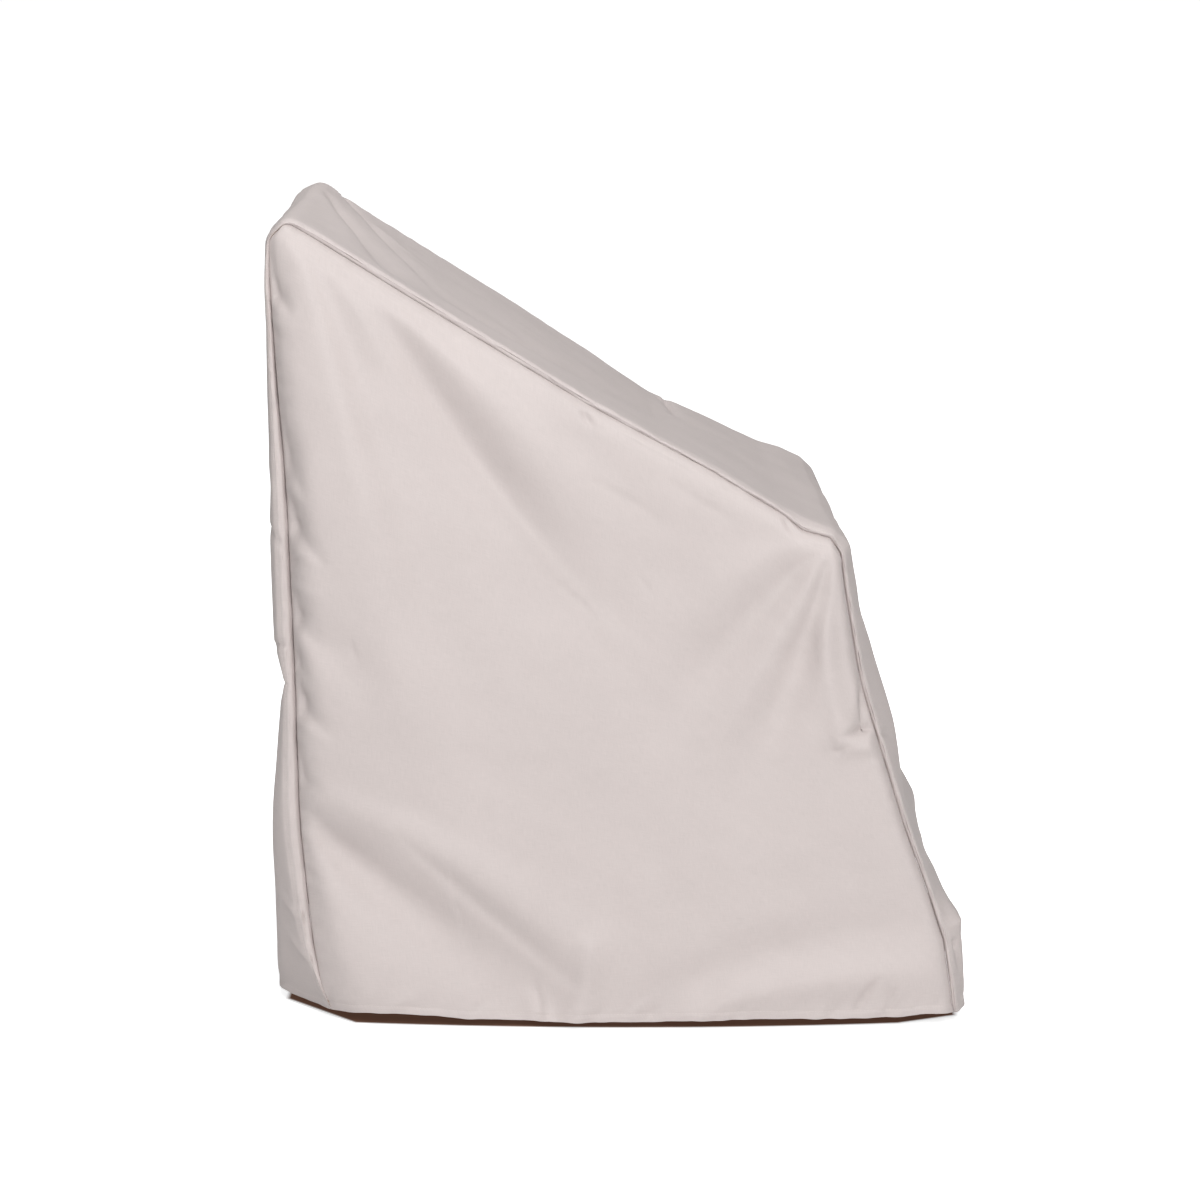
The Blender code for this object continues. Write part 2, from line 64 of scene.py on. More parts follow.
# cells of the fine sheets
SIDE_CELLS = 220
STRIP_CELLS_ACROSS = 92
STRIP_CELLS_ALONG = 500

# ------------------------------------------------ the seam, station by station
# One row for each station along the seams, from the back hem over the crest to
# the front hem.
#   y, z          the left seam in side view
#   left_x        sideways place of the left seam
#   right_x       sideways place of the right seam
#   right_rise    the right seam against the left one, along the face's normal
#   face          direction that the strip faces there: 0 back, 90 up, 180 front
#   proud         how far the strip stands proud of its seams
#   belly         extra crown in the middle of the strip
#   ribbon        how high the seam allowance stands, in mm
#   facet         share of the half-width that the slant beside it takes, up to
#                 the full proud height
#   round         how softly the seam turns at the station, in mm
STATION_COLUMNS = ("name", "y", "z", "left_x", "right_x", "right_rise",
                   "face", "proud", "belly", "ribbon", "facet", "round")
STATIONS = (
    ("back_hem",      0.311, 0.006, -0.325, 0.325, 0.000,   0, 0.067, 0.000, 0.5, 0.250, 8),
    ("back_foot",     0.323, 0.030, -0.322, 0.322, 0.000,   0, 0.056, 0.000, 2.0, 0.210, 18),
    ("back_calf",     0.333, 0.082, -0.318, 0.318, 0.000,   0, 0.044, 0.001, 14.0, 0.150, 24),
    ("back_low",      0.346, 0.214, -0.309, 0.309, 0.000,   0, 0.033, 0.002, 22.0, 0.100, 40),
    ("back_notch",    0.349, 0.370, -0.302, 0.302, 0.000,   0, 0.0155, 0.003, 13.0, 0.060, 5),
    ("back_seat",     0.350, 0.404, -0.300, 0.300, 0.000,   0, 0.025, 0.001, 20.0, 0.080, 5),
    ("back_high",     0.357, 0.586, -0.288, 0.286, 0.000,   0, 0.020, 0.001, 15.0, 0.070, 40),
    ("back_shoulder", 0.366, 0.692, -0.277, 0.272, 0.000,   0, 0.011, 0.001, 8.5, 0.050, 30),
    ("back_neck",     0.373, 0.800, -0.264, 0.256, 0.002,   2, 0.006, 0.001, 5.0, 0.040, 16),
    ("crest_back",    0.373, 0.838, -0.260, 0.250, 0.010,   8, 0.005, 0.000, 3.0, 0.040, 4),
    ("crest_nape",    0.370, 0.844, -0.260, 0.250, 0.012,  40, 0.005, 0.000, 2.0, 0.040, 3),
    ("crest_front",   0.357, 0.857, -0.258, 0.248, 0.003,  62, 0.006, 0.000, 2.0, 0.040, 3),
    ("crest_brow",    0.349, 0.857, -0.258, 0.248, -0.003, 108, 0.007, 0.000, 4.0, 0.040, 6),
    ("brow",          0.320, 0.840, -0.261, 0.251, -0.009, 120, 0.008, 0.000, 7.0, 0.040, 24),
    ("slope_high",    0.233, 0.787, -0.270, 0.262, -0.0115, 121, 0.008, 0.000, 7.5, 0.040, 40),
    ("slope_upper",   0.126, 0.724, -0.284, 0.276, -0.016, 121, 0.008, 0.000, 7.5, 0.040, 40),
    ("slope_mid",     0.030, 0.668, -0.296, 0.289, -0.022, 120, 0.007, 0.000, 6.5, 0.040, 10),
    ("slope_kink",   -0.048, 0.627, -0.305, 0.299, -0.032, 119, 0.006, 0.000, 3.5, 0.040, 6),
    ("slope_lower",  -0.096, 0.602, -0.311, 0.307, -0.028, 119, 0.006, 0.000, 3.5, 0.040, 24),
    ("arm",          -0.176, 0.554, -0.316, 0.314, -0.020, 119, 0.006, 0.000, 4.0, 0.040, 6),
    ("arm_dip",      -0.197, 0.537, -0.319, 0.317, -0.014, 120, 0.011, 0.000, 6.0, 0.040, 4),
    ("arm_brow",     -0.227, 0.529, -0.320, 0.318, -0.017, 124, 0.008, 0.000, 4.5, 0.040, 3),
    ("arm_tip",      -0.238, 0.512, -0.320, 0.318, -0.017, 152, 0.013, 0.000, 4.5, 0.060, 4),
    ("front_top",    -0.243, 0.475, -0.318, 0.318, -0.006, 166, 0.014, 0.000, 5.0, 0.120, 14),
    ("front_high",   -0.261, 0.372, -0.314, 0.314, -0.002, 168, 0.023, -0.002, 6.0, 0.150, 30),
    ("front_knee",   -0.280, 0.311, -0.314, 0.314, 0.000, 168, 0.024, -0.002, 6.0, 0.150, 20),
    ("front_shin",   -0.312, 0.208, -0.318, 0.318, 0.000, 168, 0.009, -0.006, 6.0, 0.120, 14),
    ("front_calf",   -0.337, 0.140, -0.322, 0.322, 0.000, 168, 0.012, -0.008, 6.0, 0.120, 14),
    ("front_ledge",  -0.351, 0.097, -0.325, 0.325, -0.010, 170, 0.0290, -0.012, 6.0, 0.060, 1.5),
    ("front_tuck",   -0.355, 0.086, -0.326, 0.326, -0.010, 178, 0.0240, -0.012, 5.0, 0.060, 2),
    ("front_foot",   -0.362, 0.040, -0.330, 0.330, -0.004, 179, 0.021, -0.008, 5.5, 0.080, 16),
    ("front_hem",    -0.366, 0.007, -0.332, 0.332, 0.000, 180, 0.017, -0.006, 5.0, 0.080, 8),
)
CREST_CORNER = 0.5        # the panel's top corner, between crest_back and _front
CORNER_AT_ARM = "arm_tip"

# how each side panel stands out beside its seams
#   share    where on that edge: 0 at the hem or the crest, 1 at the arm or top
#   rise     how far it stands out from the seam's groove close by
#   reach    distance over which it does
#   swell    how far it goes on swelling out from there
#   spread   distance over which it does
EDGE_COLUMNS = ("edge", "share", "rise", "reach", "swell", "spread")
EDGES = (
    ("back",  0.00, 0.007, 0.008, 0.012, 0.070),
    ("back",  0.20, 0.010, 0.010, 0.020, 0.075),
    ("back",  0.50, 0.034, 0.013, 0.020, 0.075),
    ("back",  0.72, 0.031, 0.013, 0.024, 0.075),
    ("back",  0.90, 0.014, 0.010, 0.018, 0.065),
    ("back",  1.00, 0.006, 0.010, 0.005, 0.040),
    ("top",   0.00, 0.004, 0.010, 0.002, 0.030),
    ("top",   1.00, 0.005, 0.010, 0.002, 0.030),
    ("front", 0.00, 0.006, 0.005, 0.003, 0.030),
    ("front", 0.50, 0.010, 0.006, 0.003, 0.030),
    ("front", 0.75, 0.014, 0.010, 0.003, 0.030),
    ("front", 1.00, 0.007, 0.006, 0.001, 0.030),
)
FOLD_EASE = 0.018         # folds die out this close to a seam

# how far each side hem droops below the line between its corners, in mm
#   share    0 at the back corner, 1 at the front
HEM_COLUMNS = ("share", "left", "right")
HEM_DROOP = (
    (0.00,  0.0, 0.0),
    (0.06, -4.5, 0.6),
    (0.12, -4.0, 2.4),
    (0.17, -1.0, 4.0),
    (0.22,  3.0, 4.4),
    (0.30,  5.0, 4.0),
    (0.52,  5.0, 5.6),
    (0.61,  2.8, 5.4),
    (0.70,  1.2, 3.2),
    (0.80,  3.0, 2.0),
    (0.86,  1.4, 3.0),
    (0.90,  2.0, 2.8),
    (0.95, -2.5, 0.6),
    (1.00,  0.0, 0.0),
)
HEM_ROUND = 0.016         # softness of that line, as a share of it

# ----------------------------------------------------------------- the folds
# One row for each soft fold.  A fold runs from start past middle to end; on a
# side panel the pair is (y, z), on the strip it is (distance along the left
# seam from the back hem, x across).  h0, h1, h2 are its heights at those three
# places (a trough is negative), w0 and w2 its half-widths at start and end,
# and lean makes one flank longer than the other.
FOLD_COLUMNS = ("name", "start", "middle", "end",
                "h0", "h1", "h2", "w0", "w2", "lean")
LEFT_FOLDS = (
    ("crest_ridge",     (0.345, 0.845), (0.270, 0.560), (0.190, 0.200), 0.003, 0.011, 0.004, 0.012, 0.060, 0.3),
    ("crest_ridge_2",   (0.319, 0.830), (0.233, 0.704), (0.140, 0.545), 0.002, 0.004, 0.000, 0.010, 0.030, 0.0),
    ("upper_ridge",     (0.248, 0.778), (0.130, 0.666), (-0.020, 0.490), 0.002, 0.011, 0.000, 0.012, 0.042, 0.0),
    ("crest_trough",    (0.250, 0.753), (0.153, 0.600), (0.040, 0.420), -0.002, -0.012, -0.001, 0.014, 0.058, 0.1),
    ("back_hollow",     (0.335, 0.440), (0.290, 0.395), (0.245, 0.350), -0.005, -0.007, 0.000, 0.020, 0.032, -0.2),
    ("foot_shoulder",   (0.330, 0.252), (0.180, 0.180), (0.030, 0.080), 0.003, 0.008, 0.006, 0.014, 0.034, 0.0),
    ("foot_toe",        (0.030, 0.085), (0.036, 0.040), (0.050, 0.000), 0.004, 0.005, 0.006, 0.014, 0.016, 0.0),
    ("foot_trough",     (0.340, 0.222), (0.257, 0.149), (0.105, 0.040), -0.005, -0.017, -0.010, 0.012, 0.042, 0.0),
    ("foot_ridge",      (0.332, 0.185), (0.300, 0.100), (0.245, 0.000), 0.003, 0.008, 0.009, 0.014, 0.050, -0.3),
    ("hem_flute",       (0.104, 0.046), (0.090, 0.024), (0.080, 0.000), 0.000, 0.003, 0.005, 0.010, 0.013, 0.0),
    ("arm_ridge_back",  (-0.190, 0.520), (-0.118, 0.482), (-0.010, 0.380), 0.001, 0.004, 0.000, 0.008, 0.036, 0.0),
    ("arm_trough_back", (-0.208, 0.510), (-0.130, 0.430), (-0.036, 0.302), -0.002, -0.006, 0.000, 0.007, 0.034, 0.0),
    ("arm_ridge",       (-0.215, 0.505), (-0.155, 0.393), (-0.060, 0.250), 0.002, 0.006, 0.000, 0.007, 0.034, 0.0),
    ("arm_trough_mid",  (-0.222, 0.500), (-0.189, 0.383), (-0.120, 0.220), -0.002, -0.006, 0.000, 0.006, 0.030, 0.0),
    ("arm_ridge_front", (-0.230, 0.495), (-0.215, 0.366), (-0.200, 0.220), 0.002, 0.005, 0.000, 0.006, 0.026, 0.0),
    ("knee_swell",      (-0.216, 0.470), (-0.226, 0.400), (-0.240, 0.320), 0.000, 0.005, 0.008, 0.010, 0.016, 0.0),
    ("knee_kink",       (-0.282, 0.304), (-0.260, 0.303), (-0.232, 0.300), 0.006, 0.005, 0.000, 0.008, 0.012, 0.0),
    ("hem_trough",      (-0.040, 0.036), (-0.177, 0.082), (-0.320, 0.108), -0.002, -0.006, -0.003, 0.018, 0.030, 0.0),
    ("hem_rise",        (-0.080, 0.010), (-0.200, 0.044), (-0.335, 0.052), 0.003, 0.006, 0.003, 0.014, 0.022, 0.0),
)
RIGHT_FOLDS = (
    ("crest_ridge",     (0.340, 0.838), (0.270, 0.650), (0.190, 0.420), 0.005, 0.011, 0.000, 0.010, 0.038, 0.0),
    ("crest_trough",    (0.300, 0.805), (0.195, 0.600), (0.060, 0.400), -0.003, -0.013, 0.000, 0.012, 0.048, 0.3),
    ("slack_ridge",     (0.165, 0.705), (0.050, 0.560), (-0.040, 0.400), 0.003, 0.011, 0.000, 0.014, 0.040, 0.0),
    ("slack_trough",    (0.070, 0.630), (-0.025, 0.530), (-0.090, 0.420), -0.003, -0.010, 0.000, 0.012, 0.032, 0.0),
    ("foot_trough",     (0.338, 0.170), (0.250, 0.105), (0.150, 0.010), -0.005, -0.014, -0.012, 0.012, 0.032, 0.3),
    ("foot_ridge",      (0.335, 0.240), (0.190, 0.135), (0.040, 0.000), 0.004, 0.013, 0.010, 0.014, 0.044, 0.0),
    ("arm_trough",      (-0.212, 0.500), (-0.140, 0.370), (-0.060, 0.220), -0.004, -0.013, 0.000, 0.008, 0.042, 0.2),
    ("arm_ridge",       (-0.226, 0.495), (-0.200, 0.350), (-0.160, 0.180), 0.004, 0.010, 0.000, 0.007, 0.030, 0.0),
    ("front_trough",    (-0.236, 0.450), (-0.252, 0.350), (-0.290, 0.240), -0.003, -0.009, -0.004, 0.008, 0.014, 0.0),
    ("hem_flute",       (-0.140, 0.130), (-0.155, 0.065), (-0.165, 0.000), 0.000, 0.007, 0.012, 0.016, 0.030, 0.0),
)
STRIP_FOLDS = (
    ("crest_gather",    (0.876, 0.140), (0.930, -0.030), (1.000, -0.255), -0.003, -0.008, 0.000, 0.006, 0.024, 0.4),
    ("crest_fall",      (0.880, 0.080), (0.915, -0.080), (0.950, -0.230), 0.002, 0.004, 0.000, 0.010, 0.030, 0.0),
    ("far_valley",      (1.040, -0.140), (1.190, -0.100), (1.356, 0.110), -0.001, -0.006, -0.003, 0.030, 0.050, 0.0),
    ("kink_tuck",       (1.345, 0.270), (1.356, 0.200), (1.357, 0.110), -0.004, -0.004, 0.000, 0.008, 0.012, 0.0),
    ("back_pull_left",  (0.575, -0.262), (0.480, -0.160), (0.430, -0.020), -0.003, -0.010, 0.000, 0.014, 0.050, 0.0),
    ("back_pull_right", (0.690, 0.245), (0.590, 0.120), (0.540, 0.000), -0.003, -0.009, 0.000, 0.014, 0.050, 0.0),
    ("back_notch_tuck", (0.362, -0.290), (0.367, -0.230), (0.388, -0.120), -0.004, -0.009, 0.000, 0.010, 0.026, 0.0),
    ("back_flute_left", (0.240, -0.120), (0.120, -0.135), (0.000, -0.150), 0.000, 0.006, 0.008, 0.030, 0.050, 0.0),
    ("back_flute_right", (0.300, 0.100), (0.150, 0.120), (0.000, 0.150), 0.000, -0.008, -0.010, 0.030, 0.050, 0.0),
    ("front_pull_left", (1.615, -0.280), (1.715, -0.150), (1.790, 0.010), -0.003, -0.008, 0.000, 0.012, 0.050, 0.0),
    ("front_pull_right", (1.615, 0.280), (1.740, 0.170), (1.830, 0.050), -0.003, -0.007, 0.000, 0.012, 0.046, 0.0),
)


# ------------------------------------------------------------------ helpers
def column(rows, columns, name):
    return np.array([float(r[columns.index(name)]) for r in rows])


def rounded(knots, values, where, soft):
    """Straight runs between the table's values, rounded at each of them."""
    where = np.asarray(where, float)
    knots = np.concatenate([[knots[0] - 0.2], knots, [knots[-1] + 0.2]])
    slope_0 = (values[1] - values[0]) / (knots[2] - knots[1])
    slope_1 = (values[-1] - values[-2]) / (knots[-2] - knots[-3])
    values = np.concatenate([[values[0] - 0.2 * slope_0], values, [values[-1] + 0.2 * slope_1]])
    total, weights = 0.0, 0.0
    for k in range(-8, 9):
        weight = math.cos(k / 9 * math.pi / 2) ** 2
        total = total + weight * np.interp(where + soft * k / 9 * 1.6, knots, values)
        weights += weight
    return total / weights


STATION_NAMES = [r[0] for r in STATIONS]
STATION = {c: column(STATIONS, STATION_COLUMNS, c) for c in STATION_COLUMNS[1:]}
ALONG = np.concatenate([[0.0], np.cumsum(np.hypot(np.diff(STATION["y"]),
                                                  np.diff(STATION["z"])))])
SEAM_LENGTH = ALONG[-1]


def at(name, along):
    along = np.asarray(along, float)
    soft = np.interp(along, ALONG, STATION["round"]) / 1000
    return rounded(ALONG, STATION[name], along, soft)


def station_along(name):
    return ALONG[STATION_NAMES.index(name)]


def facing(along):
    angle = np.radians(at("face", along))
    return np.stack([np.zeros_like(angle), np.cos(angle), np.sin(angle)], -1)


def seam(side, along):
    """Point on the left (side -1) or right (side +1) seam."""
    along = np.asarray(along, float)
    base = np.stack([at("left_x" if side < 0 else "right_x", along),
                     at("y", along) + CENTRE_Y, at("z", along)], -1)
    if side > 0:
        base = base + facing(along) * at("right_rise", along)[..., None]
    return base


CREST = (station_along("crest_back") * (1 - CREST_CORNER)
         + station_along("crest_front") * CREST_CORNER)
ARM = station_along(CORNER_AT_ARM)


def fold_height(folds, p, q):
    """Sum of the folds' heights at panel places (p, q)."""
    total = np.zeros_like(p)
    steps = np.linspace(0.0, 1.0, 15)
    for (_, start, middle, end, h0, h1, h2, w0, w2, lean) in folds:
        start, middle, end = map(np.array, (start, middle, end))
        # the curve through the three places
        line = (start[None] * ((1 - steps) * (1 - 2 * steps))[:, None]
                + middle[None] * (4 * steps * (1 - steps))[:, None]
                + end[None] * (steps * (2 * steps - 1))[:, None])
        best = np.full(p.shape, 1e9)
        place = np.zeros_like(p)
        offset = np.zeros_like(p)
        for k in range(len(steps) - 1):
            a, b = line[k], line[k + 1]
            run = b - a
            size = float(run @ run)
            t = np.clip(((p - a[0]) * run[0] + (q - a[1]) * run[1]) / size, 0, 1)
            dx, dy = p - a[0] - t * run[0], q - a[1] - t * run[1]
            far = np.hypot(dx, dy)
            nearer = far < best
            best = np.where(nearer, far, best)
            place = np.where(nearer, (k + t) / (len(steps) - 1), place)
            sign = np.sign(run[0] * dy - run[1] * dx)
            offset = np.where(nearer, far * sign, offset)
        height = (h0 * (1 - place) * (1 - 2 * place) + h1 * 4 * place * (1 - place)
                  + h2 * place * (2 * place - 1))
        width = w0 + (w2 - w0) * place
        width = width * (1 + lean * np.tanh(offset / width))
        total += height * np.exp(-(offset / width) ** 2)
    return total


def edge_sizes(edge, share):
    """The edge table's sizes, share of the way along that edge."""
    rows = [r for r in EDGES if r[0] == edge]
    return [np.interp(share, column(rows, EDGE_COLUMNS, "share"), column(rows, EDGE_COLUMNS, c))
            for c in EDGE_COLUMNS[2:]]


def soft_ramp(x, soft):
    return (x + np.sqrt(x * x + soft * soft)) / 2


def strip_places(along, across):
    """Distances on the strip: over the cloth from the nearer seam, sideways
    from it, and the half-width between the seams."""
    half = (at("right_x", along) - at("left_x", along)) / 2
    turn = RIBBON_TURN * np.maximum(at("ribbon", along) / 1000, 0.002)
    over = (1 - np.abs(across)) * (half + RIBBON_WIDTH)
    sideways = soft_ramp(over - RIBBON_WIDTH, turn) - soft_ramp(-RIBBON_WIDTH, turn)
    return over, sideways, half


def strip_point(along, across, lift=0.0):
    """Centre strip: along the seam, across from -1 (left) to 1 (right)."""
    along, across = np.broadcast_arrays(np.asarray(along, float), np.asarray(across, float))
    over, sideways, half = strip_places(along, across)
    t = np.sign(across) * (1 - np.minimum(sideways / half, 1))
    share = ((t + 1) / 2)[..., None]
    left, right = seam(-1, along), seam(1, along)
    chord = left * (1 - share) + right * share
    # the seam allowance stands up from the seam
    ribbon = at("ribbon", along) / 1000
    turn = RIBBON_TURN * np.maximum(ribbon, 0.002)
    out = ribbon * (1 - soft_ramp(RIBBON_WIDTH - over, turn) / soft_ramp(RIBBON_WIDTH, turn))
    # then a slanting flat rises to the strip's full height
    slant = sideways / (at("facet", along) * half)
    slant = slant - soft_ramp(slant - 1, FACET_SOFT) + soft_ramp(-1.0, FACET_SOFT)
    out = out + np.maximum(at("proud", along) - ribbon, 0) * slant
    out = out + at("belly", along) * (1 - t ** 2)
    ease = 1 - np.exp(-(sideways / FOLD_EASE) ** 2)
    out = out + ease * fold_height(STRIP_FOLDS, along, chord[..., 0]) + lift
    place = chord + facing(along) * out[..., None]
    plump = RIBBON_PLUMP * np.minimum(ribbon / RIBBON_FULL, 1)
    place[..., 0] += (np.sign(across) * plump * (1 - np.exp(-over / 0.0011))
                      * np.exp(-(over / RIBBON_WIDTH) ** 4))
    return place


def side_point(side, a, b):
    """Side panel: a from the back seam (0) to the front seam (1), b up."""
    def back(t):
        return seam(side, t * CREST)

    def front(t):
        return seam(side, SEAM_LENGTH + t * (ARM - SEAM_LENGTH))

    def top(t):
        return seam(side, CREST + t * (ARM - CREST))

    corner = {(i, j): seam(side, np.array(v)) for (i, j), v in {
        (0, 0): 0.0, (1, 0): SEAM_LENGTH, (0, 1): CREST, (1, 1): ARM}.items()}
    aa, bb = a[..., None], b[..., None]
    hem = corner[0, 0] * (1 - aa) + corner[1, 0] * aa
    place = ((1 - aa) * back(b) + aa * front(b) + (1 - bb) * hem + bb * top(a)
             - (1 - aa) * (1 - bb) * corner[0, 0] - aa * (1 - bb) * corner[1, 0]
             - (1 - aa) * bb * corner[0, 1] - aa * bb * corner[1, 1])
    width = np.linalg.norm(front(b) - back(b), axis=-1)
    height = np.linalg.norm(top(a) - hem, axis=-1)
    gaps = {"back": a * width, "front": (1 - a) * width, "top": (1 - b) * height}
    out = SIDE_BELLY * (4 * a * (1 - a)) ** 0.8 * (
        SIDE_BELLY_TOP + (1 - SIDE_BELLY_TOP) * (1 - b) ** 1.5) * (1 - b ** 6)
    ease = np.ones_like(a)
    shoulders = np.ones_like(a)
    stand = {}
    for edge, share in (("back", b), ("top", a), ("front", b)):
        gap = gaps[edge]
        rise, reach, swell, spread = edge_sizes(edge, share)
        ease = ease * (1 - np.exp(-(gap / FOLD_EASE) ** 2))
        groove = 1 - np.exp(-(gap / reach) ** 1.25)
        stand[edge] = (rise + swell * (1 - np.exp(-gap / spread))) * np.exp(-gap / 0.16)
        shoulders = shoulders * groove
    out = out + (stand["back"] + stand["top"] + stand["front"]) * shoulders
    out = out + ease * fold_height(LEFT_FOLDS if side < 0 else RIGHT_FOLDS,
                                   place[..., 1] - CENTRE_Y, place[..., 2])
    place = place.copy()
    place[..., 0] += side * out
    droop = rounded(column(HEM_DROOP, HEM_COLUMNS, "share"),
                    column(HEM_DROOP, HEM_COLUMNS, "left" if side < 0 else "right"), a, HEM_ROUND)
    place[..., 2] -= droop / 1000 * (1 - b) ** 3
    return place



# ------------------------------------------------------------- fine creases
# As the folds above, but crisp.  They run right up to a seam.
LEFT_CREASES = (
    ("under_arm_a",   (0.067, 0.480), (0.041, 0.459), (0.017, 0.431), 0.0000, -0.0013, 0.000, 0.0040, 0.0060, 0.5),
    ("under_arm_a_2", (0.052, 0.462), (0.020, 0.436), (-0.022, 0.402), 0.0000, 0.0007, 0.000, 0.0060, 0.0080, 0.0),
    ("under_arm_b",   (-0.019, 0.494), (-0.029, 0.480), (-0.040, 0.464), 0.0000, -0.0011, 0.000, 0.0036, 0.0044, 0.3),
    ("arm_line_a",    (0.034, 0.592), (-0.008, 0.571), (-0.058, 0.538), 0.0000, -0.0011, 0.000, 0.0050, 0.0070, 0.4),
    ("arm_line_b",    (-0.050, 0.594), (-0.090, 0.567), (-0.135, 0.541), 0.0000, -0.0010, 0.000, 0.0050, 0.0070, 0.4),
    ("arm_hook",      (-0.180, 0.552), (-0.186, 0.538), (-0.203, 0.529), -0.0030, -0.0026, 0.000, 0.0026, 0.0030, 0.5),
    ("seam_step",     (0.036, 0.660), (0.030, 0.651), (0.025, 0.645), -0.0026, -0.0026, 0.000, 0.0028, 0.0036, 0.0),
    ("back_hook",     (0.283, 0.422), (0.284, 0.408), (0.275, 0.392), 0.0000, -0.0014, 0.000, 0.0030, 0.0040, 0.0),
    ("back_tuck_1",   (0.372, 0.790), (0.360, 0.777), (0.346, 0.763), -0.0066, -0.0042, 0.000, 0.0130, 0.0040, -0.5),
    ("back_tuck_2",   (0.356, 0.616), (0.344, 0.590), (0.331, 0.566), -0.0044, -0.0030, 0.000, 0.0140, 0.0040, -0.5),
    ("back_tuck_3",   (0.354, 0.540), (0.332, 0.519), (0.309, 0.498), -0.0092, -0.0058, 0.000, 0.0150, 0.0040, -0.5),
    ("back_tuck_4",   (0.350, 0.442), (0.332, 0.424), (0.314, 0.407), -0.0062, -0.0040, 0.000, 0.0130, 0.0040, -0.5),
    ("back_tuck_5",   (0.348, 0.346), (0.325, 0.328), (0.300, 0.309), -0.0084, -0.0050, 0.000, 0.0140, 0.0050, -0.5),
    ("back_tuck_6",   (0.347, 0.268), (0.331, 0.258), (0.312, 0.247), -0.0040, -0.0026, 0.000, 0.0110, 0.0040, -0.5),
    ("back_tuck_7",   (0.351, 0.392), (0.340, 0.383), (0.330, 0.374), -0.0034, -0.0022, 0.000, 0.0090, 0.0036, -0.5),
    ("foot_core",     (0.234, 0.205), (0.147, 0.126), (0.045, 0.044), -0.0010, -0.0034, -0.0015, 0.0090, 0.0140, -0.5),
    ("crest_core",    (0.226, 0.716), (0.137, 0.598), (0.019, 0.461), -0.0008, -0.0030, -0.0006, 0.0090, 0.0160, -0.5),
    ("knee_pocket",   (-0.264, 0.376), (-0.267, 0.350), (-0.266, 0.324), -0.0010, -0.0060, -0.007, 0.0050, 0.0100, 0.0),
    ("knee_lip",      (-0.284, 0.322), (-0.262, 0.320), (-0.234, 0.312), -0.0050, -0.0046, 0.000, 0.0036, 0.0036, 0.5),
    ("knee_hook",     (-0.250, 0.308), (-0.238, 0.298), (-0.228, 0.300), 0.0000, -0.0020, 0.000, 0.0035, 0.0040, 0.0),
    ("hem_tuck_1",    (0.094, 0.046), (0.086, 0.026), (0.084, 0.006), 0.0000, -0.0030, -0.0030, 0.0050, 0.0060, 0.3),
    ("hem_tuck_2",    (-0.286, 0.054), (-0.274, 0.034), (-0.260, 0.014), 0.0000, -0.0044, -0.0020, 0.0040, 0.0044, 0.5),
    ("hem_tuck_3",    (-0.304, 0.040), (-0.299, 0.026), (-0.294, 0.010), 0.0000, -0.0030, -0.001, 0.0030, 0.0034, 0.3),
)
RIGHT_CREASES = (
    ("slack_a",       (0.040, 0.610), (0.000, 0.560), (-0.050, 0.522), 0.0000, -0.0018, 0.000, 0.0045, 0.0070, 0.4),
    ("slack_b",       (0.082, 0.640), (0.050, 0.604), (0.034, 0.560), 0.0000, -0.0016, 0.000, 0.0045, 0.0070, 0.4),
    ("middle_a",      (0.112, 0.470), (0.082, 0.424), (0.030, 0.392), 0.0000, -0.0017, 0.000, 0.0040, 0.0060, 0.5),
    ("back_tuck_1",   (0.366, 0.720), (0.352, 0.706), (0.336, 0.690), -0.0032, -0.0038, 0.000, 0.0050, 0.0060, 0.3),
    ("back_tuck_2",   (0.350, 0.532), (0.338, 0.516), (0.322, 0.506), -0.0030, -0.0034, 0.000, 0.0050, 0.0060, 0.3),
    ("back_tuck_3",   (0.348, 0.392), (0.330, 0.378), (0.310, 0.352), -0.0028, -0.0034, 0.000, 0.0050, 0.0065, 0.3),
    ("back_tuck_4",   (0.346, 0.286), (0.332, 0.274), (0.314, 0.262), -0.0026, -0.0030, 0.000, 0.0050, 0.0060, 0.3),
    ("knee_lip",      (-0.292, 0.268), (-0.270, 0.270), (-0.244, 0.276), -0.0030, -0.0034, 0.000, 0.0040, 0.0050, 0.4),
    ("hem_tuck_1",    (-0.010, 0.050), (-0.016, 0.028), (-0.014, 0.006), 0.0000, -0.0028, -0.0026, 0.0050, 0.0060, 0.3),
    ("hem_tuck_2",    (0.220, 0.048), (0.212, 0.030), (0.216, 0.008), 0.0000, -0.0026, -0.0020, 0.0045, 0.0050, 0.3),
)
